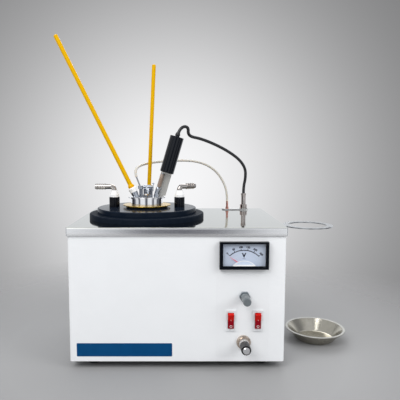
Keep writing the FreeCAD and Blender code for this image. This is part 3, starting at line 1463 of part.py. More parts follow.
def stirrer():
    body, shaft = turned_body("stirrer", [
        ("0", "-shaft_dip"), ("shaft_radius", "-shaft_dip"), ("shaft_radius", "motor_low - fit_gap"),
        ("0", "motor_low - fit_gap")], **stir_place())
    hub = turn(body, add_outline(new_sketch(body), [
        ("0", "-shaft_dip"), ("blade_hub", "-shaft_dip"), ("blade_hub", "blade_height - shaft_dip"),
        ("0", "blade_height - shaft_dip")]))
    blade = new_sketch(body, "XY_Plane", "-shaft_dip")
    add_box(blade, "0", "-blade_thickness / 2", "blade_radius", "blade_thickness / 2")
    around(body, pad(body, blade, "blade_height"), "blade_count")


def flexible_coupling():
    """A ribbed sleeve on the shaft under the motor."""
    bore = "shaft_radius + shaft_play"
    pitch = "((coupling_high - coupling_low) / coupling_count)"
    body, sleeve = turned_body("flexible_coupling", [
        (bore, "coupling_low"), ("coupling_radius", "coupling_low"), ("coupling_radius", "coupling_high"),
        (bore, "coupling_high")], **stir_place())
    groove = turn(body, add_outline(new_sketch(body), [
        ("coupling_radius - coupling_groove", "coupling_low + %s * 0.35" % pitch),
        ("coupling_radius + overrun", "coupling_low + %s * 0.35" % pitch),
        ("coupling_radius + overrun", "coupling_low + %s * 0.65" % pitch),
        ("coupling_radius - coupling_groove", "coupling_low + %s * 0.65" % pitch)]), cut=True)
    check_cut(sleeve, groove)
    repeat(body, groove, pitch, "coupling_count", "Z_Axis")


def stirrer_bush():
    place = stir_place()
    place.pop("lean")
    body = new_body("stirrer_bush", **place)
    bore = "shaft_radius + shaft_play"
    tube = turned_leaning(body, [
        (bore, "-bush_height"), ("bush_radius", "-bush_height"),
        ("bush_radius", "bush_height - bush_radius / 2"),
        ("bush_radius * 0.86", "bush_height - bush_radius / 5"), ("bush_radius * 0.6", "bush_height"),
        (bore, "bush_height")], "stir_lean")
    check_cut(tube, trim_below(body, "4 * bush_height"))


def motor_housing():
    body, can = turned_body("motor_housing", [
        ("0", "motor_low"), ("motor_radius", "motor_low"), ("motor_radius", "motor_low + motor_length"),
        ("motor_gland_radius", "motor_low + motor_length"),
        ("motor_gland_radius", "motor_low + motor_length + motor_gland_height"),
        ("0", "motor_low + motor_length + motor_gland_height")], **stir_place("stir_offset"))
    wide, low = size("motor_radius"), size("motor_low")
    high = low + size("motor_length")
    soften(body, can, "motor_edge", lambda edge: is_rim(edge, wide, low) or is_rim(edge, wide, high))


def motor_bracket():
    """An upright web behind the shaft, a head plate under the motor and a foot on the lid."""
    body = new_body("motor_bracket", **{key: words for key, words in stir_place().items() if key != "lean"})
    back = "bracket_behind"
    wide = "bracket_width / 2"
    head = "(motor_low - bracket_top)"
    corners = leaning([("stir_offset - %s" % wide, "-overrun"), ("stir_offset + %s" % wide, "-overrun"),
                       ("stir_offset + %s" % wide, "motor_low"), ("stir_offset - %s" % wide, "motor_low")],
                      "stir_lean")
    web = pad(body, add_outline(new_sketch(body, "XZ_Plane", back + " + bracket_sheet"), corners),
              "bracket_sheet")
    cap = leaning([("stir_offset - %s" % wide, head), ("stir_offset + %s" % wide, head),
                   ("stir_offset + %s" % wide, "motor_low"), ("stir_offset - %s" % wide, "motor_low")],
                  "stir_lean")
    plate = pad(body, add_outline(new_sketch(body, "XZ_Plane", back + " + bracket_sheet"), cap),
                "bracket_behind + bracket_sheet + blade_radius")
    foot = new_sketch(body, "XY_Plane")
    add_box(foot, "stir_offset - %s" % wide, back, "stir_offset * 0.8", back + " + bracket_foot")
    base = pad(body, foot, "bracket_sheet")
    level = trim_below(body, "4 * bracket_width")
    check_cut(base, level)
    hole = turned_leaning(body, [
        ("0", head + " - overrun"), ("shaft_radius + fit_gap", head + " - overrun"),
        ("shaft_radius + fit_gap", "motor_low + overrun"), ("0", "motor_low + overrun")], "stir_lean",
                          cut=True)
    check_cut(level, hole)


# Free cords

def carried(points, end):
    """A route whose half nearer the deck goes along when the fitting under its end moves."""
    half = len(points) // 2
    shift = Vector(*end) - Vector(*points[-1])
    return [Vector(*point) + (shift if number >= half else Vector()) for number, point in enumerate(points)]


def cord(label, spots, radius):
    """A tube of straight runs joined by tangent arcs, each as large as its two runs allow."""
    edges, start, radii = [], spots[0], []
    for before, corner, after in zip(spots, spots[1:], spots[2:]):
        to_before, to_after = before - corner, after - corner
        bend = math.pi - to_before.getAngle(to_after)
        cut = 0.45 * min(to_before.Length, to_after.Length)
        arc_radius = cut / math.tan(bend / 2)
        first = corner + to_before.normalize() * cut
        last = corner + to_after.normalize() * cut
        inward = (first + last) * 0.5 - corner
        centre_away = math.hypot(arc_radius, cut)
        middle = corner + inward.normalize() * (centre_away - arc_radius)
        edges.append(Part.LineSegment(start, first).toShape())
        edges.append(Part.Arc(first, middle, last).toShape())
        radii.append(arc_radius)
        start = last
    edges.append(Part.LineSegment(start, spots[-1]).toShape())
    path = Part.Wire(edges)
    ring = Part.Wire([Part.Circle(spots[0], spots[1] - spots[0], radius).toShape()])
    shape = path.makePipeShell([ring], True, False)
    length = sum(edge.Length for edge in edges)
    print("%s length %.1f, least radius %.1f, radii %s" % (label, length, min(radii),
                                                           [round(r, 1) for r in radii]))
    share = shape.Volume / (math.pi * radius ** 2 * length)
    if not 0.995 < share < 1.005:
        raise ValueError("%s has %.3f of its volume" % (label, share))
    piece = doc.addObject("Part::Feature", label)
    piece.Shape = shape
    piece.Placement = Placement()
    PIECES.append(piece)


cabinet_wrap()
rear_panel()
base_tray()
feet()
foot_screws()
top_deck()
bath_pieces()
lower_disc()
upper_disc()
insulating_ring()
cup_flange()
sample_cup()
coolant_posts()
post_collars()
hose_barb("hose_barb_left", "-bath_left - post_reach", "180")
hose_barb("hose_barb_right", "post_reach - bath_left", "barb_yaw")
bath_thermometer()
thermometer_grommet()
cup_thermometer()
socket_collar()
meter_case()
meter_plates()
meter_pointer()
voltage_control()
gas_control()
rocker_frames()
rocker("stir_rocker", "switch_left")
rocker("power_rocker", "switch_right")
deck_fittings()
cup_ring()
ring_screws()
dish()
power_inlet()
rear_gas_inlet()
control_board()
lid_plate()
thermometer_socket()
slide_guides()
jet_posts()
gas_riser()
shutter()
test_jet()
stirrer()
flexible_coupling()
stirrer_bush()
motor_housing()
motor_bracket()
plug_end = (size("plug_right"), size("fitting_back"), size("deck_top + plug_top"))
cord("motor_cable", carried(CABLE_POINTS, plug_end), size("cable_radius"))
tube_end = (size("gas_right"), size("fitting_back"), size("deck_top + gas_sleeve_top + tube_gap"))
cord("gas_tube", carried(TUBE_POINTS, tube_end), size("tube_radius"))

doc.recompute()
for item in doc.Objects:
    if "Invalid" in item.State or "Error" in item.State:
        raise ValueError("%s of %s failed" % (item.Label,
                                              getattr(item.getParentGeoFeatureGroup(), "Label",
                                                      "the part")))
for piece in PIECES:
    if piece.Shape.isNull() or not piece.Shape.isValid() or not piece.Shape.Solids:
        raise ValueError(piece.Label + " is not a valid solid")

os.makedirs("parts", exist_ok=True)
for piece in PIECES:
    piece.Shape.exportStep("parts/%s.step" % piece.Label)
print(len(PIECES), "pieces")
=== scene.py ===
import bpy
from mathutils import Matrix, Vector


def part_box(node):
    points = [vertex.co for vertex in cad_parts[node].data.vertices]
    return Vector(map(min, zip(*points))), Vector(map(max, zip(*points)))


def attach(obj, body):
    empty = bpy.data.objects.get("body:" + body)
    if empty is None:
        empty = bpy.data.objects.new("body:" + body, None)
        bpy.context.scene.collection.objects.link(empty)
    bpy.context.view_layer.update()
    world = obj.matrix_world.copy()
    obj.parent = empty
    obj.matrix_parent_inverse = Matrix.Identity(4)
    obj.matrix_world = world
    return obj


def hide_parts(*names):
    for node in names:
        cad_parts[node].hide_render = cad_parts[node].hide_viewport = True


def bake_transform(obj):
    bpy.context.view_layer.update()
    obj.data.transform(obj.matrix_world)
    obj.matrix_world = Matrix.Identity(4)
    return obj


bl_info = {
    "name": "Flash Point Tester",
    "version": (1, 0, 0),
    "blender": (4, 5, 0),
    "location": "3D View > Sidebar > Tester",
    "description": "Finishes and small pieces of a closed-cup flash point tester",
    "category": "Object",
}

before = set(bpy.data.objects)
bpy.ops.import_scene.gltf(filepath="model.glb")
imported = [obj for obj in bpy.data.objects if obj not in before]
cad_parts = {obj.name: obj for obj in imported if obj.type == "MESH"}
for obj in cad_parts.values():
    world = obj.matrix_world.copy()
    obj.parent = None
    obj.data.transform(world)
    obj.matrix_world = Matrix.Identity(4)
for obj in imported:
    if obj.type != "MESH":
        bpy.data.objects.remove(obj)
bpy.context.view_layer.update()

import math

import bmesh
import bpy
from mathutils import Matrix, Vector

MM = 0.001

# Routes of the two free cords, from the lid to the deck, in metres
CABLE_POINTS = [
    (0.00003, 0.008, 0.34738), (0.002, 0.0086, 0.3534), (0.007, 0.0106, 0.3602), (0.0132, 0.0126, 0.3624),
    (0.018, 0.0148, 0.3589), (0.0176, 0.0173, 0.3504), (0.0222, 0.0218, 0.3452), (0.0394, 0.031, 0.3422),
    (0.0628, 0.046, 0.3338), (0.088, 0.063, 0.322), (0.1122, 0.08, 0.3063), (0.1256, 0.092, 0.289),
    (0.1266, 0.098, 0.2698), (0.1234, 0.0995, 0.2548), (0.1234, 0.0995, 0.242),
]
TUBE_POINTS = [
    (-0.06956, 0.006, 0.27738), (-0.0716, 0.0072, 0.285), (-0.0704, 0.016, 0.2916), (-0.0656, 0.034, 0.296),
    (-0.0536, 0.057, 0.2994), (-0.0345, 0.0728, 0.3018), (-0.0112, 0.084, 0.3033), (0.0109, 0.091, 0.3039),
    (0.0334, 0.0955, 0.3022), (0.0551, 0.099, 0.2952), (0.0736, 0.101, 0.2816), (0.0866, 0.1014, 0.2615),
    (0.0925, 0.0998, 0.2415), (0.0925, 0.0995, 0.2274),
]

# Centres, levels and leans that the pieces are placed by
BATH = (-0.0515, 0.0, 0.0)
DECK_TOP = 0.211
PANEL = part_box("cabinet_wrap")[0].y
ROD_BASE = Vector((-0.0683, -0.01, 0.2452))
ROD_LEAN = math.radians(-26.1)
BATH_ROD_BASE = Vector((-0.05275, 0.048, 0.2276))
BATH_ROD_LEAN = math.radians(2.7)
STIR_LEAN = math.radians(16.5)
MOTOR_BASE = Vector((-0.0365 + 0.006 * math.cos(STIR_LEAN), 0.008, 0.2452 - 0.006 * math.sin(STIR_LEAN)))
METER = Vector((0.0968, -0.1184, 0.17155))
LENS_BACK = -0.1225

# The camera of the front view
CAMERA_PLACE = (0.0081, -0.7809, 0.31705)
CAMERA_TILT = math.radians(84.29)
CAMERA_SHIFT = 0.0438
SENSOR_WIDTH = 36.0
BACKDROP_AIM = (-0.022, 1.0, -0.056)
FLOOR_LEVEL = -0.0004

# What bright metal mirrors: (share of a full turn, brightness) and (height of the direction, brightness)
BANDS_AROUND = (
    (0.0, 0.95), (0.16, 0.95), (0.2, 0.15), (0.25, 0.08), (0.28, 0.75), (0.33, 0.85), (0.345, 0.2),
    (0.37, 0.12), (0.385, 0.9), (0.43, 0.95), (0.462, 0.9), (0.474, 0.75), (0.486, 0.1), (0.5, 0.12),
    (0.516, 0.16), (0.532, 0.9), (0.6, 0.95), (0.615, 0.3), (0.645, 0.1), (0.66, 0.8), (0.7, 0.85),
    (0.73, 0.1), (0.78, 0.15), (0.82, 0.95), (1.0, 0.95),
)
BANDS_ABOVE = ((0.0, 0.95), (0.3, 0.95), (0.4, 0.5), (0.52, 0.3), (0.64, 0.35), (0.76, 0.8), (1.0, 0.75))


# Sizes and colours a user would change

def colour_prop(name, description, default):
    return bpy.props.FloatVectorProperty(
        name=name, description=description, default=default, subtype="COLOR", size=3, min=0.0, max=1.0)


def number_prop(name, description, default, **kind):
    return bpy.props.FloatProperty(name=name, description=description, default=default, **kind)


def length_prop(name, description, default):
    return number_prop(name, description, default, unit="LENGTH", min=0.0)


def power_prop(name, description, default):
    return number_prop(name, description, default, unit="POWER")


def share_prop(name, description, default):
    return number_prop(name, description, default, subtype="FACTOR", min=0.0, max=1.0)


class CabinetLooks(bpy.types.PropertyGroup):
    paint: colour_prop("Paint", "Powder coat on the cabinet", (0.9, 0.915, 0.93))
    deck: colour_prop("Deck steel", "Bright sheet of the deck", (0.425, 0.43, 0.395))
    # The lip colour is a painted highlight: the folded lip is painted much lighter than the top of the same
    # steel sheet.
    lip: colour_prop("Lip steel", "Folded edge of the deck", (0.86, 0.86, 0.86))
    banner: colour_prop("Banner", "Bare band on the front", (0.001, 0.064, 0.19))
    film_thickness: length_prop("Film thickness", "Thickness of the front films", 0.00025)
    film_left: length_prop("Film left", "Left edge of the film under the controls", 0.057)
    film_right: length_prop("Film right", "Right edge of the film under the controls", 0.1346)


class BathLooks(bpy.types.PropertyGroup):
    enamel: colour_prop("Enamel", "Black of the two bath discs", (0.005, 0.009, 0.017))
    brass: colour_prop("Brass", "Flange under the cup", (0.71, 0.465, 0.085))
    chrome: colour_prop("Chrome", "Cup and lid", (0.86, 0.86, 0.87))
    works: colour_prop("Lid works", "Guides, jet and posts on the lid", (0.5, 0.53, 0.58))
    elbows: colour_prop("Elbow steel", "Hose elbows", (0.6, 0.56, 0.53))


class RodLooks(bpy.types.PropertyGroup):
    yellow: colour_prop("Rod yellow", "Yellow backing in the glass", (0.76, 0.43, 0.0))
    amber: colour_prop("Rod amber", "Darker yellow near the bulge", (0.78, 0.36, 0.0))
    scale_step: length_prop("Scale step", "Distance from one mark to the next", 0.002)
    scale_strength: share_prop("Scale strength", "How dark the marks on the glass are", 0.12)


class CordLooks(bpy.types.PropertyGroup):
    cable_width: length_prop("Cable diameter", "Motor cable across", 0.0054)
    tube_width: length_prop("Gas tube diameter", "Gas tube across", 0.0042)
    cable: colour_prop("Cable rubber", "Sheath of the motor cable", (0.012, 0.012, 0.014))
    tube: colour_prop("Tube rubber", "Cream gas tube", (0.62, 0.59, 0.53))


class ControlLooks(bpy.types.PropertyGroup):
    rocker: colour_prop("Rocker red", "Red of the two rockers", (0.27, 0.001, 0.01))
    rocker_lit: colour_prop("Rocker lit red", "Red of their lit upper half", (0.64, 0.01, 0.006))
    knob: colour_prop("Knob grey", "Voltage knob", (0.135, 0.155, 0.165))
    dial: colour_prop("Dial", "Paper of the voltmeter", (0.58, 0.66, 0.8))
    ink: colour_prop("Ink", "Print of the voltmeter", (0.004, 0.008, 0.035))


class StudioLooks(bpy.types.PropertyGroup):
    floor: colour_prop("Floor", "Bench top", (0.32, 0.32, 0.323))
    # The backdrop's middle and edge colours are a painted pool of light: bright behind the object, dark
    # towards the corners.
    edge: colour_prop("Backdrop edge", "Backdrop away from the middle", (0.16, 0.16, 0.163))
    middle: colour_prop("Backdrop middle", "Backdrop behind the object", (0.93, 0.93, 0.94))
    lens: length_prop("Focal length", "Camera lens in metres", 0.04205)
    key: power_prop("Key lamp", "Power of the large lamp", 17.0)
    fill: power_prop("Fill lamp", "Power of the side lamp", 8.5)


class TesterLooks(bpy.types.PropertyGroup):
    cabinet: bpy.props.PointerProperty(type=CabinetLooks)
    bath: bpy.props.PointerProperty(type=BathLooks)
    rods: bpy.props.PointerProperty(type=RodLooks)
    cords: bpy.props.PointerProperty(type=CordLooks)
    controls: bpy.props.PointerProperty(type=ControlLooks)
    studio: bpy.props.PointerProperty(type=StudioLooks)


# Shader nodes

class Wiring:
    """Adds nodes to one tree, with short names for sums on their values."""

    def __init__(self, tree):
        self.tree = tree

    def set(self, socket, value):
        """Links an input to another node's output, or gives it a plain value."""
        if isinstance(value, bpy.types.NodeSocket):
            self.tree.links.new(value, socket)
        else:
            socket.default_value = value

    def node(self, kind, values=None, **settings):
        node = self.tree.nodes.new(kind)
        for key, value in settings.items():
            setattr(node, key, value)
        for key, value in (values or {}).items():
            self.set(node.inputs[key], value)
        return node

    def calc(self, operation, first, second=None, clamp=False):
        values = {0: first} if second is None else {0: first, 1: second}
        return self.node("ShaderNodeMath", values, operation=operation, use_clamp=clamp).outputs[0]

    def add(self, first, second, clamp=False):
        return self.calc("ADD", first, second, clamp)

    def subtract(self, first, second, clamp=False):
        return self.calc("SUBTRACT", first, second, clamp)

    def multiply(self, first, second, clamp=False):
        return self.calc("MULTIPLY", first, second, clamp)

    def less(self, first, second):
        return self.calc("LESS_THAN", first, second)

    def greater(self, first, second):
        return self.calc("GREATER_THAN", first, second)

    def rise(self, value, start, slope):
        """Rises from 0 to 1 once a value has passed its start."""
        return self.multiply(self.subtract(value, start), slope, True)

    def axes(self, vector):
        return self.node("ShaderNodeSeparateXYZ", {0: vector}).outputs

    def noise(self, vector, scale, detail=3.0):
        values = {"Vector": vector, "Scale": scale, "Detail": detail}
        return self.node("ShaderNodeTexNoise", values).outputs["Fac"]

    def blend(self, share, first, second):
        return self.node("ShaderNodeMix", {0: share, 6: first, 7: second}, data_type="RGBA").outputs[2]

    def mix_shaders(self, share, first, second):
        return self.node("ShaderNodeMixShader", {0: share, 1: first, 2: second}).outputs[0]

    def group(self, name, values):
        return self.node("ShaderNodeGroup", values, node_tree=group_named(name)).outputs


GRAIN, BRUSHED, RINGS = "Surface Grain", "Brushed Lines", "Turned Rings"
HAIRLINES, SCALE = "Hairline Marks", "Rod Scale"
FLOAT, COLOUR, VECTOR = "NodeSocketFloat", "NodeSocketColor", "NodeSocketVector"
FINISH_INPUTS = [
    ("Vector", VECTOR, None), ("Colour", COLOUR, (0.5, 0.5, 0.5, 1.0)),
    ("Second Colour", COLOUR, (0.4, 0.4, 0.4, 1.0)), ("Amount", FLOAT, 0.3), ("Grain", FLOAT, 900.0),
    ("Roughness", FLOAT, 0.4), ("Spread", FLOAT, 0.08),
]
FINISH_OUTPUTS = [("Colour", COLOUR), ("Roughness", FLOAT), ("Height", FLOAT)]


def new_group(name, inputs, outputs):
    """A new group's wiring, the values that come in and the sockets that go out."""
    group = bpy.data.node_groups.new(name, "ShaderNodeTree")
    for label, kind, value in inputs:
        socket = group.interface.new_socket(name=label, in_out="INPUT", socket_type=kind)
        if value is not None:
            socket.default_value = value
    for label, kind in outputs:
        group.interface.new_socket(name=label, in_out="OUTPUT", socket_type=kind)
    net = Wiring(group)
    return net, net.node("NodeGroupInput").outputs, net.node("NodeGroupOutput").inputs


def close_finish(net, given, out, fine, broad):
    """Colour, roughness and height from a fine and a broad pattern."""
    share = net.multiply(net.rise(broad, 0.35, 3.2), given["Amount"])
    net.set(out["Colour"], net.blend(share, given["Colour"], given["Second Colour"]))
    swing = net.multiply(net.subtract(net.add(fine, broad), 1.0), given["Spread"])
    net.set(out["Roughness"], net.add(given["Roughness"], swing, True))
    net.set(out["Height"], fine)


def grain_group():
    """Fine mottling, the same in every direction."""
    net, given, out = new_group(GRAIN, FINISH_INPUTS, FINISH_OUTPUTS)
    fine = net.noise(given["Vector"], given["Grain"], 4.0)
    wide = net.multiply(given["Grain"], 0.045)
    close_finish(net, given, out, fine, net.noise(given["Vector"], wide, 2.0))
    return net.tree


def brushed_group():
    """Mottling drawn out into lines by the stretch of each axis."""
    stretch = ("Stretch", VECTOR, (1.0, 40.0, 40.0))
    net, given, out = new_group(BRUSHED, FINISH_INPUTS + [stretch], FINISH_OUTPUTS)
    stretched = net.node("ShaderNodeVectorMath", {0: given["Vector"], 1: given["Stretch"]},
                         operation="MULTIPLY").outputs[0]
    fine = net.noise(stretched, given["Grain"], 5.0)
    wide = net.multiply(given["Grain"], 0.2)
    close_finish(net, given, out, fine, net.noise(stretched, wide, 2.0))
    return net.tree


def turned_group():
    """Fine rings left by the lathe, around the Z axis of the vector."""
    net, given, out = new_group(RINGS, FINISH_INPUTS, FINISH_OUTPUTS)
    side, front, up = net.axes(given["Vector"])
    across = net.calc("POWER", net.add(net.multiply(side, side), net.multiply(front, front)), 0.5)
    along = net.multiply(net.add(across, up), given["Grain"])
    fine = net.node("ShaderNodeTexNoise", {"W": along, "Scale": 1.0, "Detail": 4.0},
                    noise_dimensions="1D").outputs["Fac"]
    wide = net.multiply(given["Grain"], 0.05)
    close_finish(net, given, out, fine, net.noise(given["Vector"], wide, 2.0))
    return net.tree


def scratch_group():
    """Hairline marks and wiped smears, given as two masks."""
    net, given, out = new_group(
        HAIRLINES, [("Vector", VECTOR, None), ("Scale", FLOAT, 60.0), ("Width", FLOAT, 0.012)],
        [("Marks", FLOAT), ("Smears", FLOAT)])
    slanted = net.node("ShaderNodeMapping", {"Vector": given["Vector"], "Rotation": (0.3, 0.2, 0.7),
                                             "Scale": (0.25, 2.0, 1.0)}).outputs[0]
    lines = net.noise(slanted, given["Scale"], 2.0)
    off = net.calc("ABSOLUTE", net.subtract(lines, 0.5))
    thin = net.subtract(1.0, net.calc("DIVIDE", off, given["Width"]), True)
    gate = net.rise(net.noise(given["Vector"], net.multiply(given["Scale"], 0.4)), 0.5, 6.0)
    net.set(out["Marks"], net.multiply(thin, gate))
    smears = net.noise(given["Vector"], net.multiply(given["Scale"], 0.2))
    net.set(out["Smears"], net.rise(smears, 0.4, 3.0))
    return net.tree


def scale_group():
    """Marks across the front of a rod that stands along the Z axis of the vector, and a painted highlight,
    a narrow stripe down its front.
    """
    net, given, out = new_group(
        SCALE,
        [("Vector", VECTOR, None), ("Step", FLOAT, 0.002), ("Low", FLOAT, 0.06), ("High", FLOAT, 0.26)],
        [("Marks", FLOAT), ("Line", FLOAT)])
    side, front, up = net.axes(given["Vector"])
    turn = net.calc("ABSOLUTE", net.calc("ARCTAN2", side, net.multiply(front, -1.0)))
    steps = net.calc("DIVIDE", up, given["Step"])
    thin = net.less(net.calc("FRACT", steps), 0.16)
    fifth = net.less(net.calc("FRACT", net.multiply(steps, 0.2)), 0.05)
    reach = net.add(net.multiply(fifth, 0.35), 0.45)
    within = net.multiply(net.less(turn, reach), thin)
    between = net.multiply(net.greater(up, given["Low"]), net.less(up, given["High"]))
    net.set(out["Marks"], net.multiply(within, between))
    # Painted highlight: a narrow stripe straight down the front of the rod.
    net.set(out["Line"], net.less(turn, 0.1))
    return net.tree


GROUP_MAKERS = {GRAIN: grain_group, BRUSHED: brushed_group, RINGS: turned_group, HAIRLINES: scratch_group,
                SCALE: scale_group}
GROUPS = {}


def group_named(name):
    """The shader group of a name, built on its first use."""
    if name not in GROUPS:
        GROUPS[name] = GROUP_MAKERS[name]()
    return GROUPS[name]


# Materials

def scaled(colour, share):
    return tuple(channel * share for channel in colour)


def start_material(name):
    """A new material, its wiring, its shader and the object coordinates."""
    material = bpy.data.materials.new(name)
    material.use_nodes = True
    net = Wiring(material.node_tree)
    net.tree.nodes.clear()
    shader = net.node("ShaderNodeBsdfPrincipled")
    net.node("ShaderNodeOutputMaterial", {"Surface": shader.outputs[0]})
    return material, net, shader, net.node("ShaderNodeTexCoord").outputs["Object"]


def set_plain(shader, **values):
    """Sets plain values on the shader's own sockets, named with underscores."""
    for key, value in values.items():
        shader.inputs[key.replace("_", " ")].default_value = value


def colour_shader(net, shader, tint, rough):
    net.set(shader.inputs["Base Color"], tint)
    net.set(shader.inputs["Roughness"], rough)


def pass_rays(net, shader, share):
    """Lets a share of the light straight through the surface."""
    clear = net.node("ShaderNodeBsdfTransparent")
    out = next(node for node in net.tree.nodes if node.type == "OUTPUT_MATERIAL")
    net.set(out.inputs["Surface"], net.mix_shaders(share, shader.outputs[0], clear.outputs[0]))


def placed(net, place, about, lean=0.0):
    """The object coordinates seen from a piece's own centre, leaning in the front view."""
    shifted = net.node("ShaderNodeVectorMath", {0: place, 1: tuple(about)}, operation="SUBTRACT").outputs[0]
    if not lean:
        return shifted
    return net.node("ShaderNodeMapping", {"Vector": shifted, "Rotation": (0.0, -lean, 0.0)}).outputs[0]


def finish_nodes(net, shader, vector, kind, colour, second, amount, grain, roughness, spread, bump, depth,
                 stretch=None):
    """A finish from a named group, with its relief on the shader."""
    values = {"Vector": vector, "Colour": (*colour, 1.0), "Second Colour": (*second, 1.0), "Amount": amount,
              "Grain": grain, "Roughness": roughness, "Spread": spread}
    if stretch is not None:
        values["Stretch"] = stretch
    given = net.group(kind, values)
    relief = net.node("ShaderNodeBump", {"Strength": bump, "Distance": depth, "Height": given["Height"]})
    net.set(shader.inputs["Normal"], relief.outputs[0])
    return given


def surface(name, colour, second=None, kind=GRAIN, amount=0.25, grain=900.0, roughness=0.4, spread=0.08,
            bump=0.15, depth=0.0001, metal=0.0, coat=0.0, about=None, lean=0.0, stretch=None, marks=0.0,
            mark_scale=60.0, specular=None):
    """One finish of the tester, from a named group, with hairline marks and smears where asked."""
    material, net, shader, place = start_material(name)
    set_plain(shader, Metallic=metal, Coat_Weight=coat, Coat_Roughness=0.05)
    if specular is not None:
        set_plain(shader, Specular_IOR_Level=specular)
    vector = place if about is None else placed(net, place, about, lean)
    given = finish_nodes(net, shader, vector, kind, colour, second or scaled(colour, 0.7), amount, grain,
                         roughness, spread, bump, depth, stretch)
    tint, rough = given["Colour"], given["Roughness"]
    if marks:
        wear = net.group(HAIRLINES, {"Vector": place, "Scale": mark_scale})
        lighter = tuple(min(1.0, channel * 1.1 + 0.05) for channel in colour)
        tint = net.blend(net.multiply(wear["Marks"], marks), tint, (*lighter, 1.0))
        worn = net.multiply(net.add(wear["Marks"], wear["Smears"]), marks * 0.3)
        rough = net.add(rough, worn, True)
    colour_shader(net, shader, tint, rough)
    return material


def put_on(node, material):
    """Gives a carried node one material all over."""
    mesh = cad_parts[node].data
    mesh.materials.clear()
    mesh.materials.append(material)


def dress(node, name, colour, second=None, **finish):
    """Gives a carried node a surface of its own."""
    put_on(node, surface(name, colour, second, **finish))


# Shapes

def ease(bm, edges, size, segments):
    bmesh.ops.bevel(bm, geom=edges, offset=size, offset_type="OFFSET", segments=segments, profile=0.5,
                    affect="EDGES", material=-1, clamp_overlap=True)


def lathe(profile, steps=48, closed=False):
    """A piece turned about the Z axis from (radius, height) points."""
    bm = bmesh.new()
    line = [bm.verts.new((radius, 0.0, height)) for radius, height in profile]
    pairs = list(zip(line, line[1:])) + ([(line[-1], line[0])] if closed else [])
    edges = [bm.edges.new(pair) for pair in pairs]
    bmesh.ops.spin(bm, geom=line + edges, cent=(0, 0, 0), axis=(0, 0, 1), angle=math.tau, steps=steps,
                   use_merge=True)
    bmesh.ops.remove_doubles(bm, verts=bm.verts, dist=1e-6)
    bmesh.ops.recalc_face_normals(bm, faces=bm.faces)
    return bm


def block(low, high, soft=0.0, segments=2):
    """A box between two corners with its edges eased."""
    bm = bmesh.new()
    bmesh.ops.create_cube(bm, size=1.0)
    low, high = Vector(low), Vector(high)
    place_shape(bm, Matrix.Translation((low + high) / 2) @ Matrix.Diagonal((*(high - low), 1.0)))
    if soft:
        ease(bm, bm.edges, soft, segments)
    return bm


def edges_into(bm, longer_than):
    """The edges that run from front to back."""
    return [edge for edge in bm.edges if abs((edge.verts[0].co - edge.verts[1].co).y) > longer_than]


def film(left, low, right, high, front, thickness, corner):
    """A thin sheet on the front panel, with round corners."""
    bm = block((left, front - thickness, low), (right, front + thickness, high))
    ease(bm, edges_into(bm, thickness), corner, 6)
    return bm


def place_shape(bm, matrix):
    bmesh.ops.transform(bm, matrix=matrix, verts=bm.verts)
    return bm


def gather(shapes):
    """Several shapes as one mesh."""
    whole = bmesh.new()
    for shape in shapes:
        mesh = bpy.data.meshes.new("part")
        shape.to_mesh(mesh)
        shape.free()
        whole.from_mesh(mesh)
        bpy.data.meshes.remove(mesh)
    return whole


def new_object(name, data):
    item = bpy.data.objects.new(name, data)
    bpy.context.scene.collection.objects.link(item)
    return item


def settle(name, bm, material, body, smooth=40.0):
    """Turns a shape into a piece that rides on a body, or a stage piece where it names none."""
    mesh = bpy.data.meshes.new(name)
    bm.to_mesh(mesh)
    bm.free()
    mesh.materials.append(material)
    mesh.shade_smooth()
    mesh.set_sharp_from_angle(angle=math.radians(smooth))
    piece = new_object(name, mesh)
    if body:
        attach(piece, body)
    return piece


def evaluated_mesh(holder):
    bpy.context.view_layer.update()
    return bpy.data.meshes.new_from_object(holder.evaluated_get(bpy.context.evaluated_depsgraph_get()))


def lettering(words, size, depth, bold=0.0):
    """Plain figures as a thin solid, centred on the origin and facing -Y."""
    curve = bpy.data.curves.new("figures", "FONT")
    curve.body = words
    curve.size = size
    curve.extrude = depth / 2
    curve.offset = bold
    curve.align_x = "CENTER"
    curve.align_y = "CENTER"
    holder = new_object("figures", curve)
    mesh = evaluated_mesh(holder)
    bm = bmesh.new()
    bm.from_mesh(mesh)
    bpy.data.objects.remove(holder)
    bpy.data.curves.remove(curve)
    bpy.data.meshes.remove(mesh)
    return place_shape(bm, Matrix.Rotation(math.radians(90), 4, "X"))


def facing_front(at):
    """Takes the Z axis of a turned piece to the front of the cabinet."""
    return Matrix.Translation(at) @ Matrix.Rotation(math.radians(90), 4, "X")


def leaning(at, lean):
    return Matrix.Translation(at) @ Matrix.Rotation(lean, 4, "Y")


def middle(node):
    low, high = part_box(node)
    return (low + high) / 2


def upright_axis(node):
    """A point on a turned node's upright centre line."""
    at = middle(node)
    return at.x, at.y, 0.0


def screw_head(radius, height):
    """A domed screw head, standing on the origin."""
    return lathe([(0.0, height), (radius * 0.45, height * 0.96), (radius * 0.8, height * 0.7),
                  (radius, height * 0.25), (radius, 0.0), (0.0, 0.0)], 24)


# Cords

def cord_route(name, points):
    """The smooth line of a cord, as a curve with no thickness."""
    curve = bpy.data.curves.new(name, "CURVE")
    curve.dimensions = "3D"
    curve.resolution_u = 16
    spline = curve.splines.new("NURBS")
    spline.points.add(len(points) - 1)
    for spot, point in zip(spline.points, points):
        spot.co = (*point, 1.0)
    spline.order_u = 3
    spline.use_endpoint_u = True
    return new_object(name, curve)


def free_cord(name, points, diameter, material, node):
    """A mesh tube along the smooth line, bending between the cabinet and the lid."""
    route = cord_route(name + "_route", points)
    line = evaluated_mesh(route)
    route.data.bevel_depth = diameter / 2
    route.data.bevel_resolution = 6
    route.data.use_fill_caps = True
    mesh = evaluated_mesh(route)
    bpy.data.meshes.remove(line)
    bpy.data.objects.remove(route)
    mesh.name = name
    mesh.materials.clear()
    mesh.materials.append(material)
    mesh.shade_smooth()
    piece = new_object(name, mesh)
    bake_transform(piece)
    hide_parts(node)
    return piece


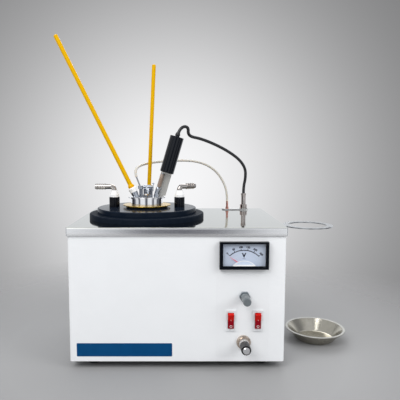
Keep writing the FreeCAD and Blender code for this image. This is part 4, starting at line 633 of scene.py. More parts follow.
class TESTER_OT_cords(bpy.types.Operator):
    """Lay the motor cable and the gas tube from the deck to the lid"""
    bl_idname = "tester.cords"
    bl_label = "Cords"

    def execute(self, context):
        looks = context.scene.tester_looks.cords
        rubber = surface("cable_rubber", looks.cable, (0.018, 0.018, 0.021), amount=0.2, grain=1400,
                         roughness=0.33, spread=0.05, bump=0.06, depth=0.00003, coat=0.1)
        cream = surface("tube_rubber", looks.tube, (0.59, 0.56, 0.5), amount=0.15, grain=300, roughness=0.4,
                        spread=0.03, bump=0.02, depth=0.00002)
        set_plain(cream.node_tree.nodes["Principled BSDF"], Subsurface_Weight=0.25,
                  Subsurface_Radius=(0.002, 0.0015, 0.001))
        free_cord("motor_cable_run", CABLE_POINTS, looks.cable_width, rubber, "motor_cable")
        free_cord("gas_tube_run", TUBE_POINTS, looks.tube_width, cream, "gas_tube")
        return {"FINISHED"}


class TESTER_OT_stage(bpy.types.Operator):
    """Set the bench top, the backdrop, the lamps and the camera"""
    bl_idname = "tester.stage"
    bl_label = "Stage"

    def execute(self, context):
        looks = context.scene.tester_looks.studio
        self.camera(context, looks)
        self.bench(looks)
        self.world(context, looks)
        for name, at, aim, size, power, mirrored in (
                ("key_lamp", (-0.75, -0.95, 1.35), (0.0, 0.0, 0.15), 1.1, looks.key, True),
                ("fill_lamp", (1.05, -0.7, 0.85), (0.05, 0.0, 0.15), 0.8, looks.fill, False),
                ("back_lamp", (0.15, 1.1, 1.2), (0.0, 0.0, 0.2), 0.9, looks.fill * 0.8, True)):
            self.lamp(name, Vector(at), Vector(aim), size, power).visible_glossy = mirrored
        context.scene.view_settings.view_transform = "Standard"
        return {"FINISHED"}

    def camera(self, context, looks):
        """A little above the deck, in front of the cabinet."""
        data = bpy.data.cameras.new("camera")
        data.lens = looks.lens / MM
        data.sensor_width = SENSOR_WIDTH
        data.shift_x = CAMERA_SHIFT
        camera = new_object("camera", data)
        camera.location = CAMERA_PLACE
        camera.rotation_euler = (CAMERA_TILT, 0.0, 0.0)
        context.scene.camera = camera

    def lamp(self, name, at, aim, size, power):
        data = bpy.data.lights.new(name, "AREA")
        data.shape = "SQUARE"
        data.size = size
        data.energy = power
        lamp = new_object(name, data)
        turn = (aim - at).to_track_quat("-Z", "Y").to_matrix().to_4x4()
        lamp.matrix_world = Matrix.Translation(at) @ turn
        return lamp

    def bench(self, looks):
        """A pale round floor that fades out where only the backdrop is left to see."""
        bm = bmesh.new()
        bmesh.ops.create_circle(bm, cap_ends=True, segments=96, radius=3.0)
        place_shape(bm, Matrix.Translation((0.0, 0.0, FLOOR_LEVEL)))
        material, net, shader, place = start_material("bench_top")
        finish_nodes(net, shader, place, GRAIN, looks.floor, looks.floor, amount=0.1, grain=60,
                     roughness=0.75, spread=0.05, bump=0.02, depth=0.0001)
        set_plain(shader, Specular_IOR_Level=0.2, Base_Color=(*looks.floor, 1.0))
        away = net.node("ShaderNodeVectorMath", {0: place}, operation="LENGTH").outputs["Value"]
        pass_rays(net, shader, net.rise(away, 0.28, 2.6))
        floor = settle("bench_floor", bm, material, None)

    def world(self, context, looks):
        """A pale backdrop, an even light from all round, and soft boxes and flags for bright metal."""
        world = bpy.data.worlds.new("studio")
        world.use_nodes = True
        net = Wiring(world.node_tree)
        net.tree.nodes.clear()
        toward = net.node("ShaderNodeTexCoord").outputs["Generated"]
        height = net.multiply(net.add(net.axes(toward)[2], 0.3), 0.9, True)
        even = net.blend(height, (0.5, 0.5, 0.51, 1.0), (0.82, 0.83, 0.85, 1.0))
        seen, mirrored, light = (
            net.node("ShaderNodeBackground", {"Color": colour, "Strength": strength}).outputs[0]
            for colour, strength in (
                (self.backdrop(net, toward, looks), 1.0), (self.soft_boxes(net, toward), 1.0), (even, 0.8)))
        rays = net.node("ShaderNodeLightPath").outputs
        bright = net.mix_shaders(rays["Is Glossy Ray"], light, mirrored)
        looking = net.calc("MAXIMUM", rays["Is Camera Ray"], rays["Is Transmission Ray"])
        net.node("ShaderNodeOutputWorld", {"Surface": net.mix_shaders(looking, bright, seen)})
        context.scene.world = world

    def backdrop(self, net, toward, looks):
        """Nearly white behind the object, falling off to its corners, as a painted pool of light."""
        aim = Vector(BACKDROP_AIM).normalized()
        dot = net.node("ShaderNodeVectorMath", {0: toward, 1: tuple(aim)}, operation="DOT_PRODUCT")
        away = net.multiply(net.subtract(1.0, dot.outputs["Value"]), 7.0)
        near = net.calc("POWER", 0.111, away, True)
        return net.blend(near, (*looks.edge, 1.0), (*looks.middle, 1.0))

    def soft_boxes(self, net, toward):
        """Bright and dark bands round the object, by the direction that is mirrored."""
        side, front, up = net.axes(toward)
        turn = net.calc("ARCTAN2", side, net.multiply(front, -1.0))
        along = net.add(net.calc("DIVIDE", turn, math.tau), 0.5)
        around = self.bands(net, along, BANDS_AROUND)
        above = self.bands(net, up, BANDS_ABOVE)
        return net.blend(net.rise(up, 0.18, 8.0), around, above)

    def bands(self, net, place, stops):
        """A ramp from (place, brightness) pairs, cooler in the dark ones."""
        ramp = net.node("ShaderNodeValToRGB", {0: place})
        elements = ramp.color_ramp.elements
        while len(elements) < len(stops):
            elements.new(0.5)
        for element, (at, bright) in zip(elements, stops):
            element.position = at
            element.color = (bright * 0.96, bright * 0.985, min(1.0, bright + 0.02), 1.0)
        return ramp.outputs[0]


class TESTER_OT_cabinet(bpy.types.Operator):
    """Finish the cabinet, its deck, feet and rear, and lay the bare films on the front"""
    bl_idname = "tester.cabinet"
    bl_label = "Cabinet"

    def execute(self, context):
        looks = context.scene.tester_looks.cabinet
        paint = surface("white_paint", looks.paint, scaled(looks.paint, 0.96), amount=0.35, grain=700,
                        roughness=0.34, spread=0.06, bump=0.12, depth=0.00012, coat=0.15, marks=0.15,
                        mark_scale=30)
        put_on("cabinet_wrap", paint)
        put_on("rear_panel", paint)
        put_on("top_deck", self.deck_steel(looks))
        put_on("control_board", self.board())
        dress("base_tray", "tray_zinc", (0.5, 0.52, 0.54), (0.36, 0.38, 0.4), amount=0.8, grain=160,
              roughness=0.42, spread=0.16, metal=0.9, bump=0.08)
        dress("feet", "foot_rubber", (0.012, 0.012, 0.013), (0.03, 0.03, 0.03), grain=1600, roughness=0.62,
              spread=0.1, bump=0.3)
        dress("foot_screws", "screw_zinc", (0.62, 0.62, 0.6), kind=RINGS, grain=5000, roughness=0.3,
              metal=1.0)
        dress("power_inlet", "inlet_plastic", (0.014, 0.014, 0.015), (0.03, 0.03, 0.03), grain=2600,
              roughness=0.42, spread=0.1, bump=0.25)
        dress("rear_gas_inlet", "inlet_brass", (0.8, 0.56, 0.24), (0.6, 0.4, 0.16), kind=RINGS, grain=3500,
              roughness=0.28, metal=1.0, about=(0.045, 0.0, 0.048))
        self.films(looks)
        self.rear_screws()
        return {"FINISHED"}

    def films(self, looks):
        """The pale film under the controls and the bare blue band, both placed down from the deck."""
        pale = surface("front_film", scaled(looks.paint, 0.975), scaled(looks.paint, 0.95), amount=0.3,
                       grain=2400, roughness=0.42, spread=0.05, bump=0.18, depth=0.00005)
        blue = surface("banner_blue", looks.banner, scaled(looks.banner, 0.8), amount=0.4, grain=1800,
                       roughness=0.45, spread=0.06, bump=0.12, depth=0.00005, specular=0.1)
        for name, left, right, lower, upper, corner, material in (
                ("control_film", looks.film_left, looks.film_right, 0.1918, 0.0697, 0.002, pale),
                ("front_banner", -0.1478, -0.0071, 0.1924, 0.1723, 0.0012, blue)):
            low, high = DECK_TOP - lower, DECK_TOP - upper
            sheet = film(left, low, right, high, PANEL, looks.film_thickness, corner)
            settle(name, sheet, material, "cabinet")

    def deck_steel(self, looks):
        """Bright on top, with long brushing along the folded lip, which is painted much lighter than the
        top as a painted highlight.
        """
        material, net, shader, place = start_material("deck_steel")
        set_plain(shader, Metallic=1.0)
        given = finish_nodes(net, shader, place, BRUSHED, looks.deck, scaled(looks.deck, 0.93), amount=0.3,
                             grain=60, roughness=0.055, spread=0.03, bump=0.02, depth=0.00004,
                             stretch=(1.0, 30.0, 30.0))
        wear = net.group(HAIRLINES, {"Vector": place})
        height = net.axes(place)[2]
        lip = net.less(height, DECK_TOP - 0.0009)
        rough = net.add(given["Roughness"], net.multiply(lip, 0.12))
        rough = net.add(rough, net.multiply(wear["Smears"], 0.03), True)
        # Painted highlight: the lip takes the light lip colour in place of the deck steel's own colour.
        colour_shader(net, shader, net.blend(lip, given["Colour"], (*looks.lip, 1.0)), rough)
        self.round_lip(net, shader, height)
        return material

    def round_lip(self, net, shader, height):
        """The slight bulge of the folded lip, as relief that falls away on both sides of its middle."""
        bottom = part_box("top_deck")[0].z
        bulge_radius = 0.02
        off = net.subtract(height, (DECK_TOP + bottom) / 2)
        swell = net.multiply(net.multiply(off, off), -0.5 / bulge_radius)
        normal = shader.inputs["Normal"]
        fold = net.node("ShaderNodeBump", {"Strength": 1.0, "Distance": 1.0, "Height": swell,
                                           "Normal": normal.links[0].from_socket})
        net.set(normal, fold.outputs[0])

    def board(self):
        """Green laminate with pale tracks and dark parts above its face."""
        material, net, shader, place = start_material("board_laminate")
        given = finish_nodes(net, shader, place, GRAIN, (0.012, 0.12, 0.045), (0.008, 0.08, 0.03),
                             amount=0.5, grain=500, roughness=0.35, spread=0.08, bump=0.1, depth=0.0001)
        black, white = (0, 0, 0, 1), (1, 1, 1, 1)
        lines = net.node("ShaderNodeTexBrick", {"Vector": place, "Scale": 110.0, "Mortar Size": 0.03,
                                                "Color1": black, "Color2": black, "Mortar": white})
        tracks = net.blend(net.multiply(lines.outputs["Color"], 0.7), given["Colour"],
                           (0.05, 0.28, 0.1, 1.0))
        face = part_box("control_board")[0].z + 0.0017
        parts = net.greater(net.axes(place)[2], face)
        colour_shader(net, shader, net.blend(parts, tracks, (0.015, 0.015, 0.017, 1.0)), given["Roughness"])
        return material

    def rear_screws(self):
        """Three pairs of screw heads on the rear panel."""
        low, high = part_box("rear_panel")
        steel = surface("rear_screw_steel", (0.6, 0.6, 0.6), kind=RINGS, grain=4000, roughness=0.26,
                        metal=1.0)
        heads = []
        for across in (low.x + 0.009, 0.0, high.x - 0.009):
            for up in (low.z + 0.02, high.z - 0.022):
                turn = Matrix.Translation((across, high.y, up)) @ Matrix.Rotation(math.radians(-90), 4, "X")
                heads.append(place_shape(screw_head(0.0031, 0.0016), turn))
        settle("rear_screws", gather(heads), steel, "cabinet")


class TESTER_OT_bath(bpy.types.Operator):
    """Finish the discs, flange, cup, coolant posts and hose elbows"""
    bl_idname = "tester.bath"
    bl_label = "Bath and cup"

    def execute(self, context):
        looks = context.scene.tester_looks.bath
        enamel, brass, chrome, steel = looks.enamel, looks.brass, looks.chrome, looks.elbows
        grey = tuple(channel + 0.006 for channel in enamel)
        turned = {"kind": RINGS, "about": BATH}
        dress("lower_disc", "disc_satin", enamel, grey, amount=0.5, grain=2400, roughness=0.5, bump=0.1,
              marks=0.15, mark_scale=80, specular=0.04, **turned)
        dress("upper_disc", "disc_gloss", scaled(enamel, 1.2), grey, amount=0.4, grain=500, roughness=0.14,
              spread=0.04, bump=0.03, about=BATH, marks=0.15, mark_scale=70, specular=0.05)
        dress("insulating_ring", "ring_bakelite", (0.01, 0.01, 0.011), (0.03, 0.026, 0.022), grain=3000,
              roughness=0.5, specular=0.1, **turned)
        dress("cup_flange", "flange_brass", brass, scaled(brass, 0.75), amount=0.5, grain=4200,
              roughness=0.17, spread=0.07, metal=1.0, bump=0.16, depth=0.00004, marks=0.3, mark_scale=120,
              **turned)
        dress("sample_cup", "cup_chrome", chrome, scaled(chrome, 0.85), amount=0.3, grain=3600,
              roughness=0.08, spread=0.04, metal=1.0, bump=0.06, depth=0.00003, **turned)
        dress("bath_vessel", "vessel_steel", (0.5, 0.5, 0.51), (0.38, 0.37, 0.36), grain=1500,
              roughness=0.3, metal=1.0, amount=0.6, **turned)
        dress("bath_heater", "heater_mica", (0.24, 0.2, 0.15), (0.14, 0.11, 0.08), grain=1800,
              roughness=0.5, metal=0.6, amount=0.7, **turned)
        dress("air_chamber", "chamber_brass", (0.72, 0.5, 0.22), (0.5, 0.32, 0.13), grain=2500,
              roughness=0.3, metal=1.0, amount=0.6, **turned)
        dress("coolant_posts", "post_plastic", (0.002, 0.0025, 0.005), (0.005, 0.006, 0.009), grain=1800,
              roughness=0.18, spread=0.06, bump=0.06, specular=0.22)
        dress("post_collars", "collar_nylon", (0.96, 0.96, 0.96), (0.92, 0.92, 0.93), grain=1500,
              roughness=0.38, bump=0.12)
        for node in ("hose_barb_left", "hose_barb_right"):
            dress(node, node + "_steel", steel, scaled(steel, 0.5), amount=0.6, grain=1400, roughness=0.2,
                  spread=0.1, metal=1.0, bump=0.1, depth=0.00005)
        return {"FINISHED"}


class TESTER_OT_rods(bpy.types.Operator):
    """Finish both thermometers, with scale marks and a painted highlight down the front of the yellow glass
    """
    bl_idname = "tester.rods"
    bl_label = "Thermometers"

    def execute(self, context):
        looks = context.scene.tester_looks.rods
        put_on("cup_thermometer", self.glass("cup_rod_glass", looks, ROD_BASE, ROD_LEAN, 0.05, 0.27, 0.026))
        bath_glass = self.glass("bath_rod_glass", looks, BATH_ROD_BASE, BATH_ROD_LEAN, 0.06, 0.225)
        put_on("bath_thermometer", bath_glass)
        dress("thermometer_grommet", "grommet_rubber", (0.012, 0.012, 0.013), grain=1800, roughness=0.55,
              bump=0.25)
        dress("socket_collar", "rod_collar_nylon", (0.96, 0.96, 0.96), (0.92, 0.92, 0.93), grain=1500,
              roughness=0.34, bump=0.1)
        return {"FINISHED"}

    def glass(self, name, looks, base, lean, low, high, bulge=0.0):
        """Yellow-backed glass, marked between two heights, warmer below its bulge, and with a painted
        highlight of lighter yellow down its front.
        """
        material, net, shader, place = start_material(name)
        set_plain(shader, Coat_Weight=0.04, Coat_Roughness=0.04, Specular_IOR_Level=0.08)
        upright = placed(net, place, base, lean)
        given = finish_nodes(net, shader, upright, BRUSHED, looks.yellow, looks.amber, amount=0.22,
                             grain=300, roughness=0.26, spread=0.05, bump=0.05, depth=0.00004,
                             stretch=(8.0, 8.0, 0.4))
        marks = net.group(SCALE, {"Vector": upright, "Step": looks.scale_step, "Low": low, "High": high})
        # Painted highlight: a lighter yellow stripe down the front of the rod.
        tint = net.blend(net.multiply(marks["Line"], 0.35), given["Colour"], (0.88, 0.55, 0.01, 1.0))
        tint = net.blend(net.multiply(marks["Marks"], looks.scale_strength), tint, (0.12, 0.06, 0.0, 1.0))
        if bulge:
            warm = net.multiply(net.subtract(bulge, net.axes(upright)[2]), 120.0, True)
            tint = net.blend(net.multiply(warm, 0.6), tint, (*looks.amber, 1.0))
        colour_shader(net, shader, tint, given["Roughness"])
        return material


class TESTER_OT_lid(bpy.types.Operator):
    """Finish the lid with its guides, shutter, jet and posts"""
    bl_idname = "tester.lid"
    bl_label = "Lid and jet"

    def execute(self, context):
        looks = context.scene.tester_looks.bath
        chrome, works = looks.chrome, looks.works
        dress("lid_plate", "lid_chrome", chrome, scaled(chrome, 0.8), kind=RINGS, amount=0.3, grain=3800,
              roughness=0.1, spread=0.05, metal=1.0, bump=0.1, depth=0.00004, about=BATH, marks=0.4,
              mark_scale=200)
        for node, rough in (("slide_guides", 0.14), ("shutter", 0.12), ("jet_posts", 0.16),
                            ("test_jet", 0.1), ("thermometer_socket", 0.1), ("stirrer_bush", 0.14),
                            ("gas_riser", 0.2), ("stirrer", 0.16)):
            dress(node, node + "_steel", works, scaled(works, 0.7), amount=0.45, grain=1600,
                  roughness=rough, spread=0.06, metal=1.0, bump=0.08, depth=0.00004, marks=0.4,
                  mark_scale=220)
        dress("flexible_coupling", "coupling_brown", (0.3, 0.21, 0.16), (0.5, 0.42, 0.36), amount=0.8,
              grain=900, roughness=0.34, spread=0.14, metal=0.55, bump=0.3)
        dress("motor_bracket", "bracket_grey", (0.6, 0.59, 0.555), (0.5, 0.49, 0.46), kind=BRUSHED,
              amount=0.5, grain=90, roughness=0.36, spread=0.1, metal=0.65, bump=0.08,
              stretch=(30.0, 30.0, 1.0))
        dress("motor_housing", "motor_gloss", (0.002, 0.003, 0.006), (0.005, 0.007, 0.011), amount=0.4,
              grain=1200, roughness=0.16, spread=0.03, bump=0.03, about=MOTOR_BASE, lean=STIR_LEAN,
              coat=0.15, specular=0.2)
        self.cable_gland()
        self.slide_bridge(works)
        return {"FINISHED"}

    def slide_bridge(self, works):
        """A bent strip across both guides behind the jet, with a raised rib on its upright face."""
        low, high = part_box("slide_guides")
        centre, foot, half = (low.x + high.x) / 2, high.z, (high.x - low.x) / 2 - 0.0002
        front, wall, tall, tab, reach = 0.015, 0.0011, 0.0103, 0.0019, 0.0045
        upright = block((centre - half, front, foot), (centre + half, front + wall, foot + tall))
        corners = [edge for edge in edges_into(upright, wall / 2) if edge.verts[0].co.z > foot + tall / 2]
        ease(upright, corners, 0.0022, 6)
        shapes = [upright, block((centre - half * 0.5, front - 0.0007, foot + tall * 0.3),
                                 (centre + half * 0.5, front, foot + tall * 0.72), 0.0003)]
        for side in (-1, 1):
            left = centre + side * half - max(side, 0) * tab
            right = centre + side * half - min(side, 0) * tab
            shapes.append(block((left, front, foot), (right, front + reach, foot + wall), 0.0003))
        for side in (-1, 1):
            spot = Matrix.Translation((centre + side * (half - tab / 2), front + 0.0031, foot + wall))
            shapes.append(place_shape(screw_head(0.0007, 0.0005), spot))
        steel = surface("bridge_steel", works, scaled(works, 0.6), amount=0.5, grain=1600, roughness=0.14,
                        spread=0.06, metal=1.0, bump=0.08, depth=0.00004)
        settle("slide_bridge", gather(shapes), steel, "lid")

    def cable_gland(self):
        """The ribbed boot round the motor cable, where it leaves the motor."""
        rubber = surface("gland_rubber", (0.014, 0.014, 0.015), grain=2000, roughness=0.5, bump=0.2)
        inner, height, sunk = 0.00285, 0.0046, 0.00045
        profile = [(inner, 0.0), (0.0042, 0.0), (0.0044, 0.0008), (0.0039, 0.0017), (0.0039, 0.0024),
                   (0.0036, 0.003), (0.0036, 0.0036), (0.0033, 0.0042), (inner, height)]
        boot = lathe(profile, 32, closed=True)
        axis = Vector((math.sin(STIR_LEAN), 0, math.cos(STIR_LEAN)))
        neck = Vector(CABLE_POINTS[0]) - axis * sunk
        settle("cable_gland", place_shape(boot, leaning(neck, STIR_LEAN)), rubber, "lid")


class TESTER_OT_meter(bpy.types.Operator):
    """Finish the voltmeter and print its dial"""
    bl_idname = "tester.meter"
    bl_label = "Voltmeter"
    window_foot = METER.z - 0.0178

    def execute(self, context):
        looks = context.scene.tester_looks.controls
        dress("meter_case", "case_plastic", (0.002, 0.003, 0.006), (0.005, 0.006, 0.01), grain=2200,
              roughness=0.24, spread=0.06, bump=0.08, specular=0.1)
        dress("meter_dial", "dial_paper", looks.dial, scaled(looks.dial, 0.94), amount=0.3, grain=1800,
              roughness=0.6, spread=0.05, bump=0.04)
        put_on("meter_lens", self.lens())
        dress("meter_pointer", "pointer_red", (0.85, 0.03, 0.08), grain=2400, roughness=0.4, bump=0.05)
        ink = surface("dial_ink", looks.ink, grain=3000, roughness=0.6, bump=0.04)
        settle("dial_print", self.print_shapes(METER), ink, "cabinet")
        pale = surface("cover_pale", scaled(looks.dial, 1.02), grain=2200, roughness=0.3, bump=0.05)
        white = surface("cover_white", (0.95, 0.96, 0.97), grain=2200, roughness=0.3, bump=0.05)
        radius, edge, strip_half = 0.0215, 0.0008, 0.0158
        settle("dial_cover", self.cover(0.0, radius - edge, 0.0005), pale, "cabinet")
        rim = self.cover(radius - edge, radius, 0.0007)
        strip = block((METER.x - strip_half, LENS_BACK + 0.0001, self.window_foot),
                      (METER.x + strip_half, LENS_BACK + 0.0004, METER.z - 0.0138), 0.0001)
        settle("dial_cover_rim", gather([rim, strip]), white, "cabinet")
        return {"FINISHED"}

    def cover(self, inner, outer, thick):
        """A part of the round cover over the movement, behind the glass, cut off at the window's foot."""
        drop = 0.0294
        profile = [(inner, thick), (outer - 0.0002, thick), (outer, thick * 0.7), (outer, 0.0),
                   (inner, 0.0)]
        disc = lathe(profile, 96, closed=inner > 0.0)
        place_shape(disc, facing_front(Vector((METER.x, LENS_BACK + MM, METER.z - drop))))
        bmesh.ops.bisect_plane(disc, geom=disc.verts[:] + disc.edges[:] + disc.faces[:], dist=1e-7,
                               plane_co=(0, 0, self.window_foot), plane_no=(0, 0, 1), clear_inner=True)
        bmesh.ops.holes_fill(disc, edges=disc.edges)
        bmesh.ops.recalc_face_normals(disc, faces=disc.faces)
        return disc

    def lens(self):
        """Clear acrylic that lets the light through to the dial."""
        material, net, shader, place = start_material("lens_acrylic")
        set_plain(shader, Transmission_Weight=1.0, IOR=1.45)
        given = finish_nodes(net, shader, place, GRAIN, (1, 1, 1), (1, 1, 1), amount=0.0, grain=400,
                             roughness=0.02, spread=0.02, bump=0.01, depth=0.00002)
        colour_shader(net, shader, given["Colour"], given["Roughness"])
        rays = net.node("ShaderNodeLightPath").outputs
        pass_rays(net, shader, net.calc("MAXIMUM", rays["Is Shadow Ray"], rays["Is Diffuse Ray"]))
        return material

    def print_shapes(self, centre):
        """Arc, ticks, figures and the letter of the unit, as thin solids on the dial."""
        deep, radius, drop = 0.00008, 0.0303, 0.0238
        first, sweep, parts, ticks = math.radians(133), math.radians(88), 5, 25
        shapes = [self.arc(radius, 0.0012, deep, first, sweep)]
        for step in range(ticks + 1):
            long, thick = (0.0028, 0.0008) if step % (ticks // parts) == 0 else (0.0012, 0.00022)
            tick = block((radius, -deep, -thick / 2), (radius + long, 0.0, thick / 2))
            shapes.append(place_shape(tick, Matrix.Rotation(sweep * step / ticks - first, 4, "Y")))
        away = radius + 0.0047
        for step, words in enumerate(("0", "50", "100", "150", "200", "250")):
            angle = first - sweep * step / parts
            spot = Matrix.Translation((away * math.cos(angle), -deep / 2, away * math.sin(angle)))
            turn = Matrix.Rotation(math.radians(90) - angle, 4, "Y")
            shapes.append(place_shape(lettering(words, 0.0038, deep, 0.0002), spot @ turn))
        unit = Matrix.Translation((0, -deep / 2, drop - 0.0011))
        shapes.append(place_shape(lettering("V", 0.0082, deep, 0.0005), unit))
        shapes.append(block((-0.0024, -deep, drop - 0.0059), (0.0024, 0, drop - 0.0055)))
        return place_shape(gather(shapes), Matrix.Translation(centre - Vector((0, 0, drop))))

    def arc(self, radius, width, deep, first, sweep):
        """A flat curved stroke, spun from one short edge."""
        bm = bmesh.new()
        ends = [bm.verts.new((radius + side * width / 2, 0.0, 0.0)) for side in (-1, 1)]
        line = bm.edges.new(ends)
        bmesh.ops.rotate(bm, verts=ends, cent=(0, 0, 0), matrix=Matrix.Rotation(-first, 3, "Y"))
        bmesh.ops.spin(bm, geom=ends + [line], cent=(0, 0, 0), axis=(0, 1, 0), angle=sweep, steps=48)
        grown = bmesh.ops.extrude_face_region(bm, geom=bm.faces[:])
        corners = [item for item in grown["geom"] if isinstance(item, bmesh.types.BMVert)]
        bmesh.ops.translate(bm, verts=corners, vec=(0, -deep, 0))
        bmesh.ops.recalc_face_normals(bm, faces=bm.faces)
        return bm


class TESTER_OT_controls(bpy.types.Operator):
    """Finish the knobs and rocker switches, with the plain marks of on and off"""
    bl_idname = "tester.controls"
    bl_label = "Controls"

    def execute(self, context):
        looks = context.scene.tester_looks.controls
        pot = middle("pot_nut")
        dress("voltage_knob", "knob_grey", looks.knob, scaled(looks.knob, 1.25), amount=0.4, grain=1800,
              roughness=0.24, bump=0.1)
        dress("pot_nut", "nut_nickel", (0.3, 0.335, 0.36), (0.2, 0.225, 0.24), kind=RINGS, grain=2600,
              roughness=0.2, metal=1.0, about=pot)
        dress("potentiometer", "pot_case", (0.55, 0.55, 0.54), kind=RINGS, grain=2000, roughness=0.34,
              metal=1.0, about=pot)
        dress("gas_valve", "valve_brass", (0.72, 0.5, 0.22), kind=RINGS, grain=2600, roughness=0.3,
              metal=1.0, about=middle("gas_valve"))
        dress("gas_valve_ring", "ring_champagne", (0.62, 0.53, 0.45), (0.5, 0.41, 0.33), grain=2400,
              roughness=0.24, metal=1.0, bump=0.1)
        put_on("gas_knob", self.gas_knob())
        dress("rocker_frames", "frame_plastic", (0.86, 0.875, 0.89), grain=2000, roughness=0.3, bump=0.06,
              coat=0.1)
        red = self.rocker_red(looks)
        white = surface("mark_white", (0.85, 0.82, 0.82), grain=3000, roughness=0.4, bump=0.04)
        for node in ("stir_rocker", "power_rocker"):
            put_on(node, red)
            self.marks(node, white)
        return {"FINISHED"}

    def rocker_red(self, looks):
        """Clear red moulding, brighter in its lit upper half."""
        material, net, shader, place = start_material("rocker_red")
        set_plain(shader, Specular_IOR_Level=0.12)
        lit = net.rise(net.axes(place)[2], middle("power_rocker").z - MM, 0.3 / MM)
        given = finish_nodes(net, shader, place, GRAIN, looks.rocker, scaled(looks.rocker, 0.7),
                             amount=0.35, grain=1500, roughness=0.22, spread=0.05, bump=0.05, depth=0.0001)
        colour_shader(net, shader, net.blend(lit, given["Colour"], (*looks.rocker_lit, 1.0)),
                      given["Roughness"])
        return material

    def gas_knob(self):
        """Black moulding on a bright neck, with a textured cap in its end."""
        material, net, shader, place = start_material("gas_knob_black")
        low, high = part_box("gas_knob")
        own = placed(net, place, ((low.x + high.x) / 2, low.y, (low.z + high.z) / 2))
        given = finish_nodes(net, shader, own, GRAIN, (0.004, 0.004, 0.006), (0.01, 0.01, 0.012),
                             amount=0.4, grain=1900, roughness=0.3, spread=0.08, bump=0.35, depth=0.00025)
        side, back, up = net.axes(own)
        cap_radius, cap_depth, neck_start = 0.0049, 0.0034, (high.y - low.y) * 0.72
        across = net.add(net.multiply(side, side), net.multiply(up, up))
        cap = net.multiply(net.less(across, cap_radius ** 2), net.less(back, cap_depth))
        bright = net.calc("MAXIMUM", cap, net.greater(back, neck_start))
        colour_shader(net, shader, net.blend(bright, given["Colour"], (0.78, 0.78, 0.79, 1.0)),
                      given["Roughness"])
        net.set(shader.inputs["Metallic"], bright)
        return material

    def marks(self, node, material):
        """A stroke above and a ring below, on the two faces of a rocker."""
        low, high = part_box(node)
        across, half_way = (low.x + high.x) / 2, (low.z + high.z) / 2
        thick, bore, rim, half_wide, half_long = 0.00012, 0.0013, 0.00185, 0.0002, 0.0012
        ring = lathe([(bore, 0.0), (rim, 0.0), (rim, thick), (bore, thick)], 32, closed=True)
        stroke = block((-half_wide, -half_long, 0.0), (half_wide, half_long, thick))
        for shape, up, name in ((ring, low.z + 0.0032, "off"), (stroke, half_way + 0.0012, "on")):
            spot, normal = self.face_spot(node, across, up)
            turn = normal.to_track_quat("Z", "Y").to_matrix().to_4x4()
            place_shape(shape, Matrix.Translation(spot) @ turn)
            settle(node + "_" + name, shape, material, node)

    def face_spot(self, node, across, up):
        """The point and direction of a rocker's face at a height."""
        hit, spot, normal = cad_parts[node].ray_cast(Vector((across, -0.2, up)), Vector((0, 1, 0)))[:3]
        if not hit:
            raise RuntimeError(node + " has no face at that height")
        return spot, normal


class TESTER_OT_fittings(bpy.types.Operator):
    """Finish the deck fittings and the strap under them"""
    bl_idname = "tester.fittings"
    bl_label = "Deck fittings"

    def execute(self, context):
        plug = upright_axis("connector_plug")
        dress("connector_plug", "plug_nickel", (0.66, 0.6, 0.57), (0.36, 0.29, 0.25), kind=RINGS,
              amount=0.4, grain=1500, roughness=0.12, metal=1.0, bump=0.1, about=plug)
        dress("connector_socket", "socket_nickel", (0.6, 0.58, 0.56), kind=RINGS, grain=1800, roughness=0.2,
              metal=1.0, about=plug)
        dress("gas_fitting", "fitting_copper", (0.78, 0.34, 0.27), (0.85, 0.6, 0.52), kind=RINGS,
              amount=0.9, grain=700, roughness=0.24, metal=1.0, bump=0.2, about=upright_axis("gas_fitting"))
        dress("fitting_strap", "strap_steel", (0.85, 0.84, 0.83), kind=BRUSHED, grain=80, roughness=0.24,
              metal=1.0, stretch=(1.0, 30.0, 30.0))
        return {"FINISHED"}


class TESTER_OT_bench_ware(bpy.types.Operator):
    """Finish the cup holder at the side and the loose dish"""
    bl_idname = "tester.bench_ware"
    bl_label = "Holder and dish"

    def execute(self, context):
        dress("cup_ring", "holder_steel", (0.4, 0.41, 0.42), (0.3, 0.31, 0.32), kind=BRUSHED, grain=70,
              roughness=0.28, metal=1.0, amount=0.5, stretch=(1.0, 24.0, 24.0), marks=0.3)
        dress("ring_screws", "holder_screw_steel", (0.62, 0.62, 0.62), kind=RINGS, grain=4000,
              roughness=0.25, metal=1.0)
        dress("dish", "dish_steel", (0.5, 0.475, 0.41), (0.36, 0.34, 0.28), kind=RINGS, amount=0.5,
              grain=1300, roughness=0.17, spread=0.06, metal=1.0, bump=0.12, depth=0.00005,
              about=upright_axis("dish"), marks=0.4, mark_scale=90)
        self.dish_rim()
        return {"FINISHED"}

    def dish_rim(self):
        """The flat turned-out brim of the dish, rolled at its outer edge."""
        low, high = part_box("dish")
        outer, wide, thick = (high.x - low.x) / 2 - 0.00005, 0.0042, 0.0004
        inner = outer - wide
        brim = lathe([(inner, -0.0009), (inner + 0.0006, -thick), (outer - 0.0009, 0.0),
                      (outer - 0.0003, -0.0001), (outer, -0.0006), (outer - 0.0003, -0.0012),
                      (outer - 0.0009, -0.0012), (inner, -0.0015)], 96, closed=True)
        rise = Vector((0.0, 0.0, high.z + 0.00045))
        place_shape(brim, Matrix.Translation(Vector(upright_axis("dish")) + rise))
        satin = surface("dish_brim_steel", (0.5, 0.5, 0.475), (0.4, 0.4, 0.375), kind=RINGS, amount=0.4,
                        grain=2600, roughness=0.5, spread=0.06, metal=0.45, bump=0.1, depth=0.00004,
                        about=upright_axis("dish"))
        settle("dish_brim", brim, satin, "cabinet")


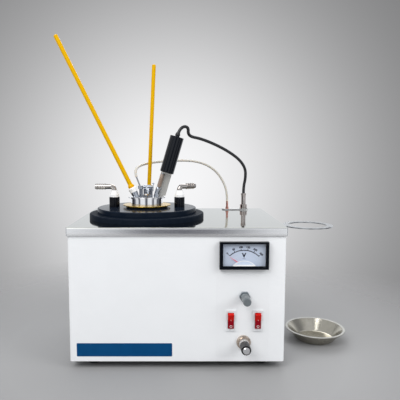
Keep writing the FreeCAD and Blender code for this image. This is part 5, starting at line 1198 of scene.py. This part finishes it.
PIECES = (
    ("Stage", "studio", TESTER_OT_stage), ("Cords", "cords", TESTER_OT_cords),
    ("Cabinet", "cabinet", TESTER_OT_cabinet), ("Bath and cup", "bath", TESTER_OT_bath),
    ("Thermometers", "rods", TESTER_OT_rods), ("Lid and jet", None, TESTER_OT_lid),
    ("Voltmeter", None, TESTER_OT_meter), ("Controls", "controls", TESTER_OT_controls),
    ("Deck fittings", None, TESTER_OT_fittings), ("Holder and dish", None, TESTER_OT_bench_ware),
)


class TESTER_PT_panel(bpy.types.Panel):
    """Lists the pieces of the tester"""
    bl_idname = "TESTER_PT_panel"
    bl_label = "Flash point tester"
    bl_space_type = "VIEW_3D"
    bl_region_type = "UI"
    bl_category = "Tester"

    def draw(self, context):
        for label, group_name, operator in PIECES:
            box = self.layout.box()
            box.label(text=label)
            if group_name:
                group = getattr(context.scene.tester_looks, group_name)
                for key in group.bl_rna.properties.keys():
                    if key not in ("rna_type", "name"):
                        box.prop(group, key)
            box.operator(operator.bl_idname)


CLASSES = (
    CabinetLooks, BathLooks, RodLooks, CordLooks, ControlLooks, StudioLooks, TesterLooks, TESTER_OT_stage,
    TESTER_OT_cords, TESTER_OT_cabinet, TESTER_OT_bath, TESTER_OT_rods, TESTER_OT_lid, TESTER_OT_meter,
    TESTER_OT_controls, TESTER_OT_fittings, TESTER_OT_bench_ware, TESTER_PT_panel,
)


def register():
    for item in CLASSES:
        bpy.utils.register_class(item)
    bpy.types.Scene.tester_looks = bpy.props.PointerProperty(type=TesterLooks)


def unregister():
    del bpy.types.Scene.tester_looks
    for item in reversed(CLASSES):
        bpy.utils.unregister_class(item)


def main():
    register()
    bpy.ops.tester.stage()
    bpy.ops.tester.cords()
    bpy.ops.tester.cabinet()
    bpy.ops.tester.bath()
    bpy.ops.tester.rods()
    bpy.ops.tester.lid()
    bpy.ops.tester.meter()
    bpy.ops.tester.controls()
    bpy.ops.tester.fittings()
    bpy.ops.tester.bench_ware()


if __name__ == "__main__":
    main()
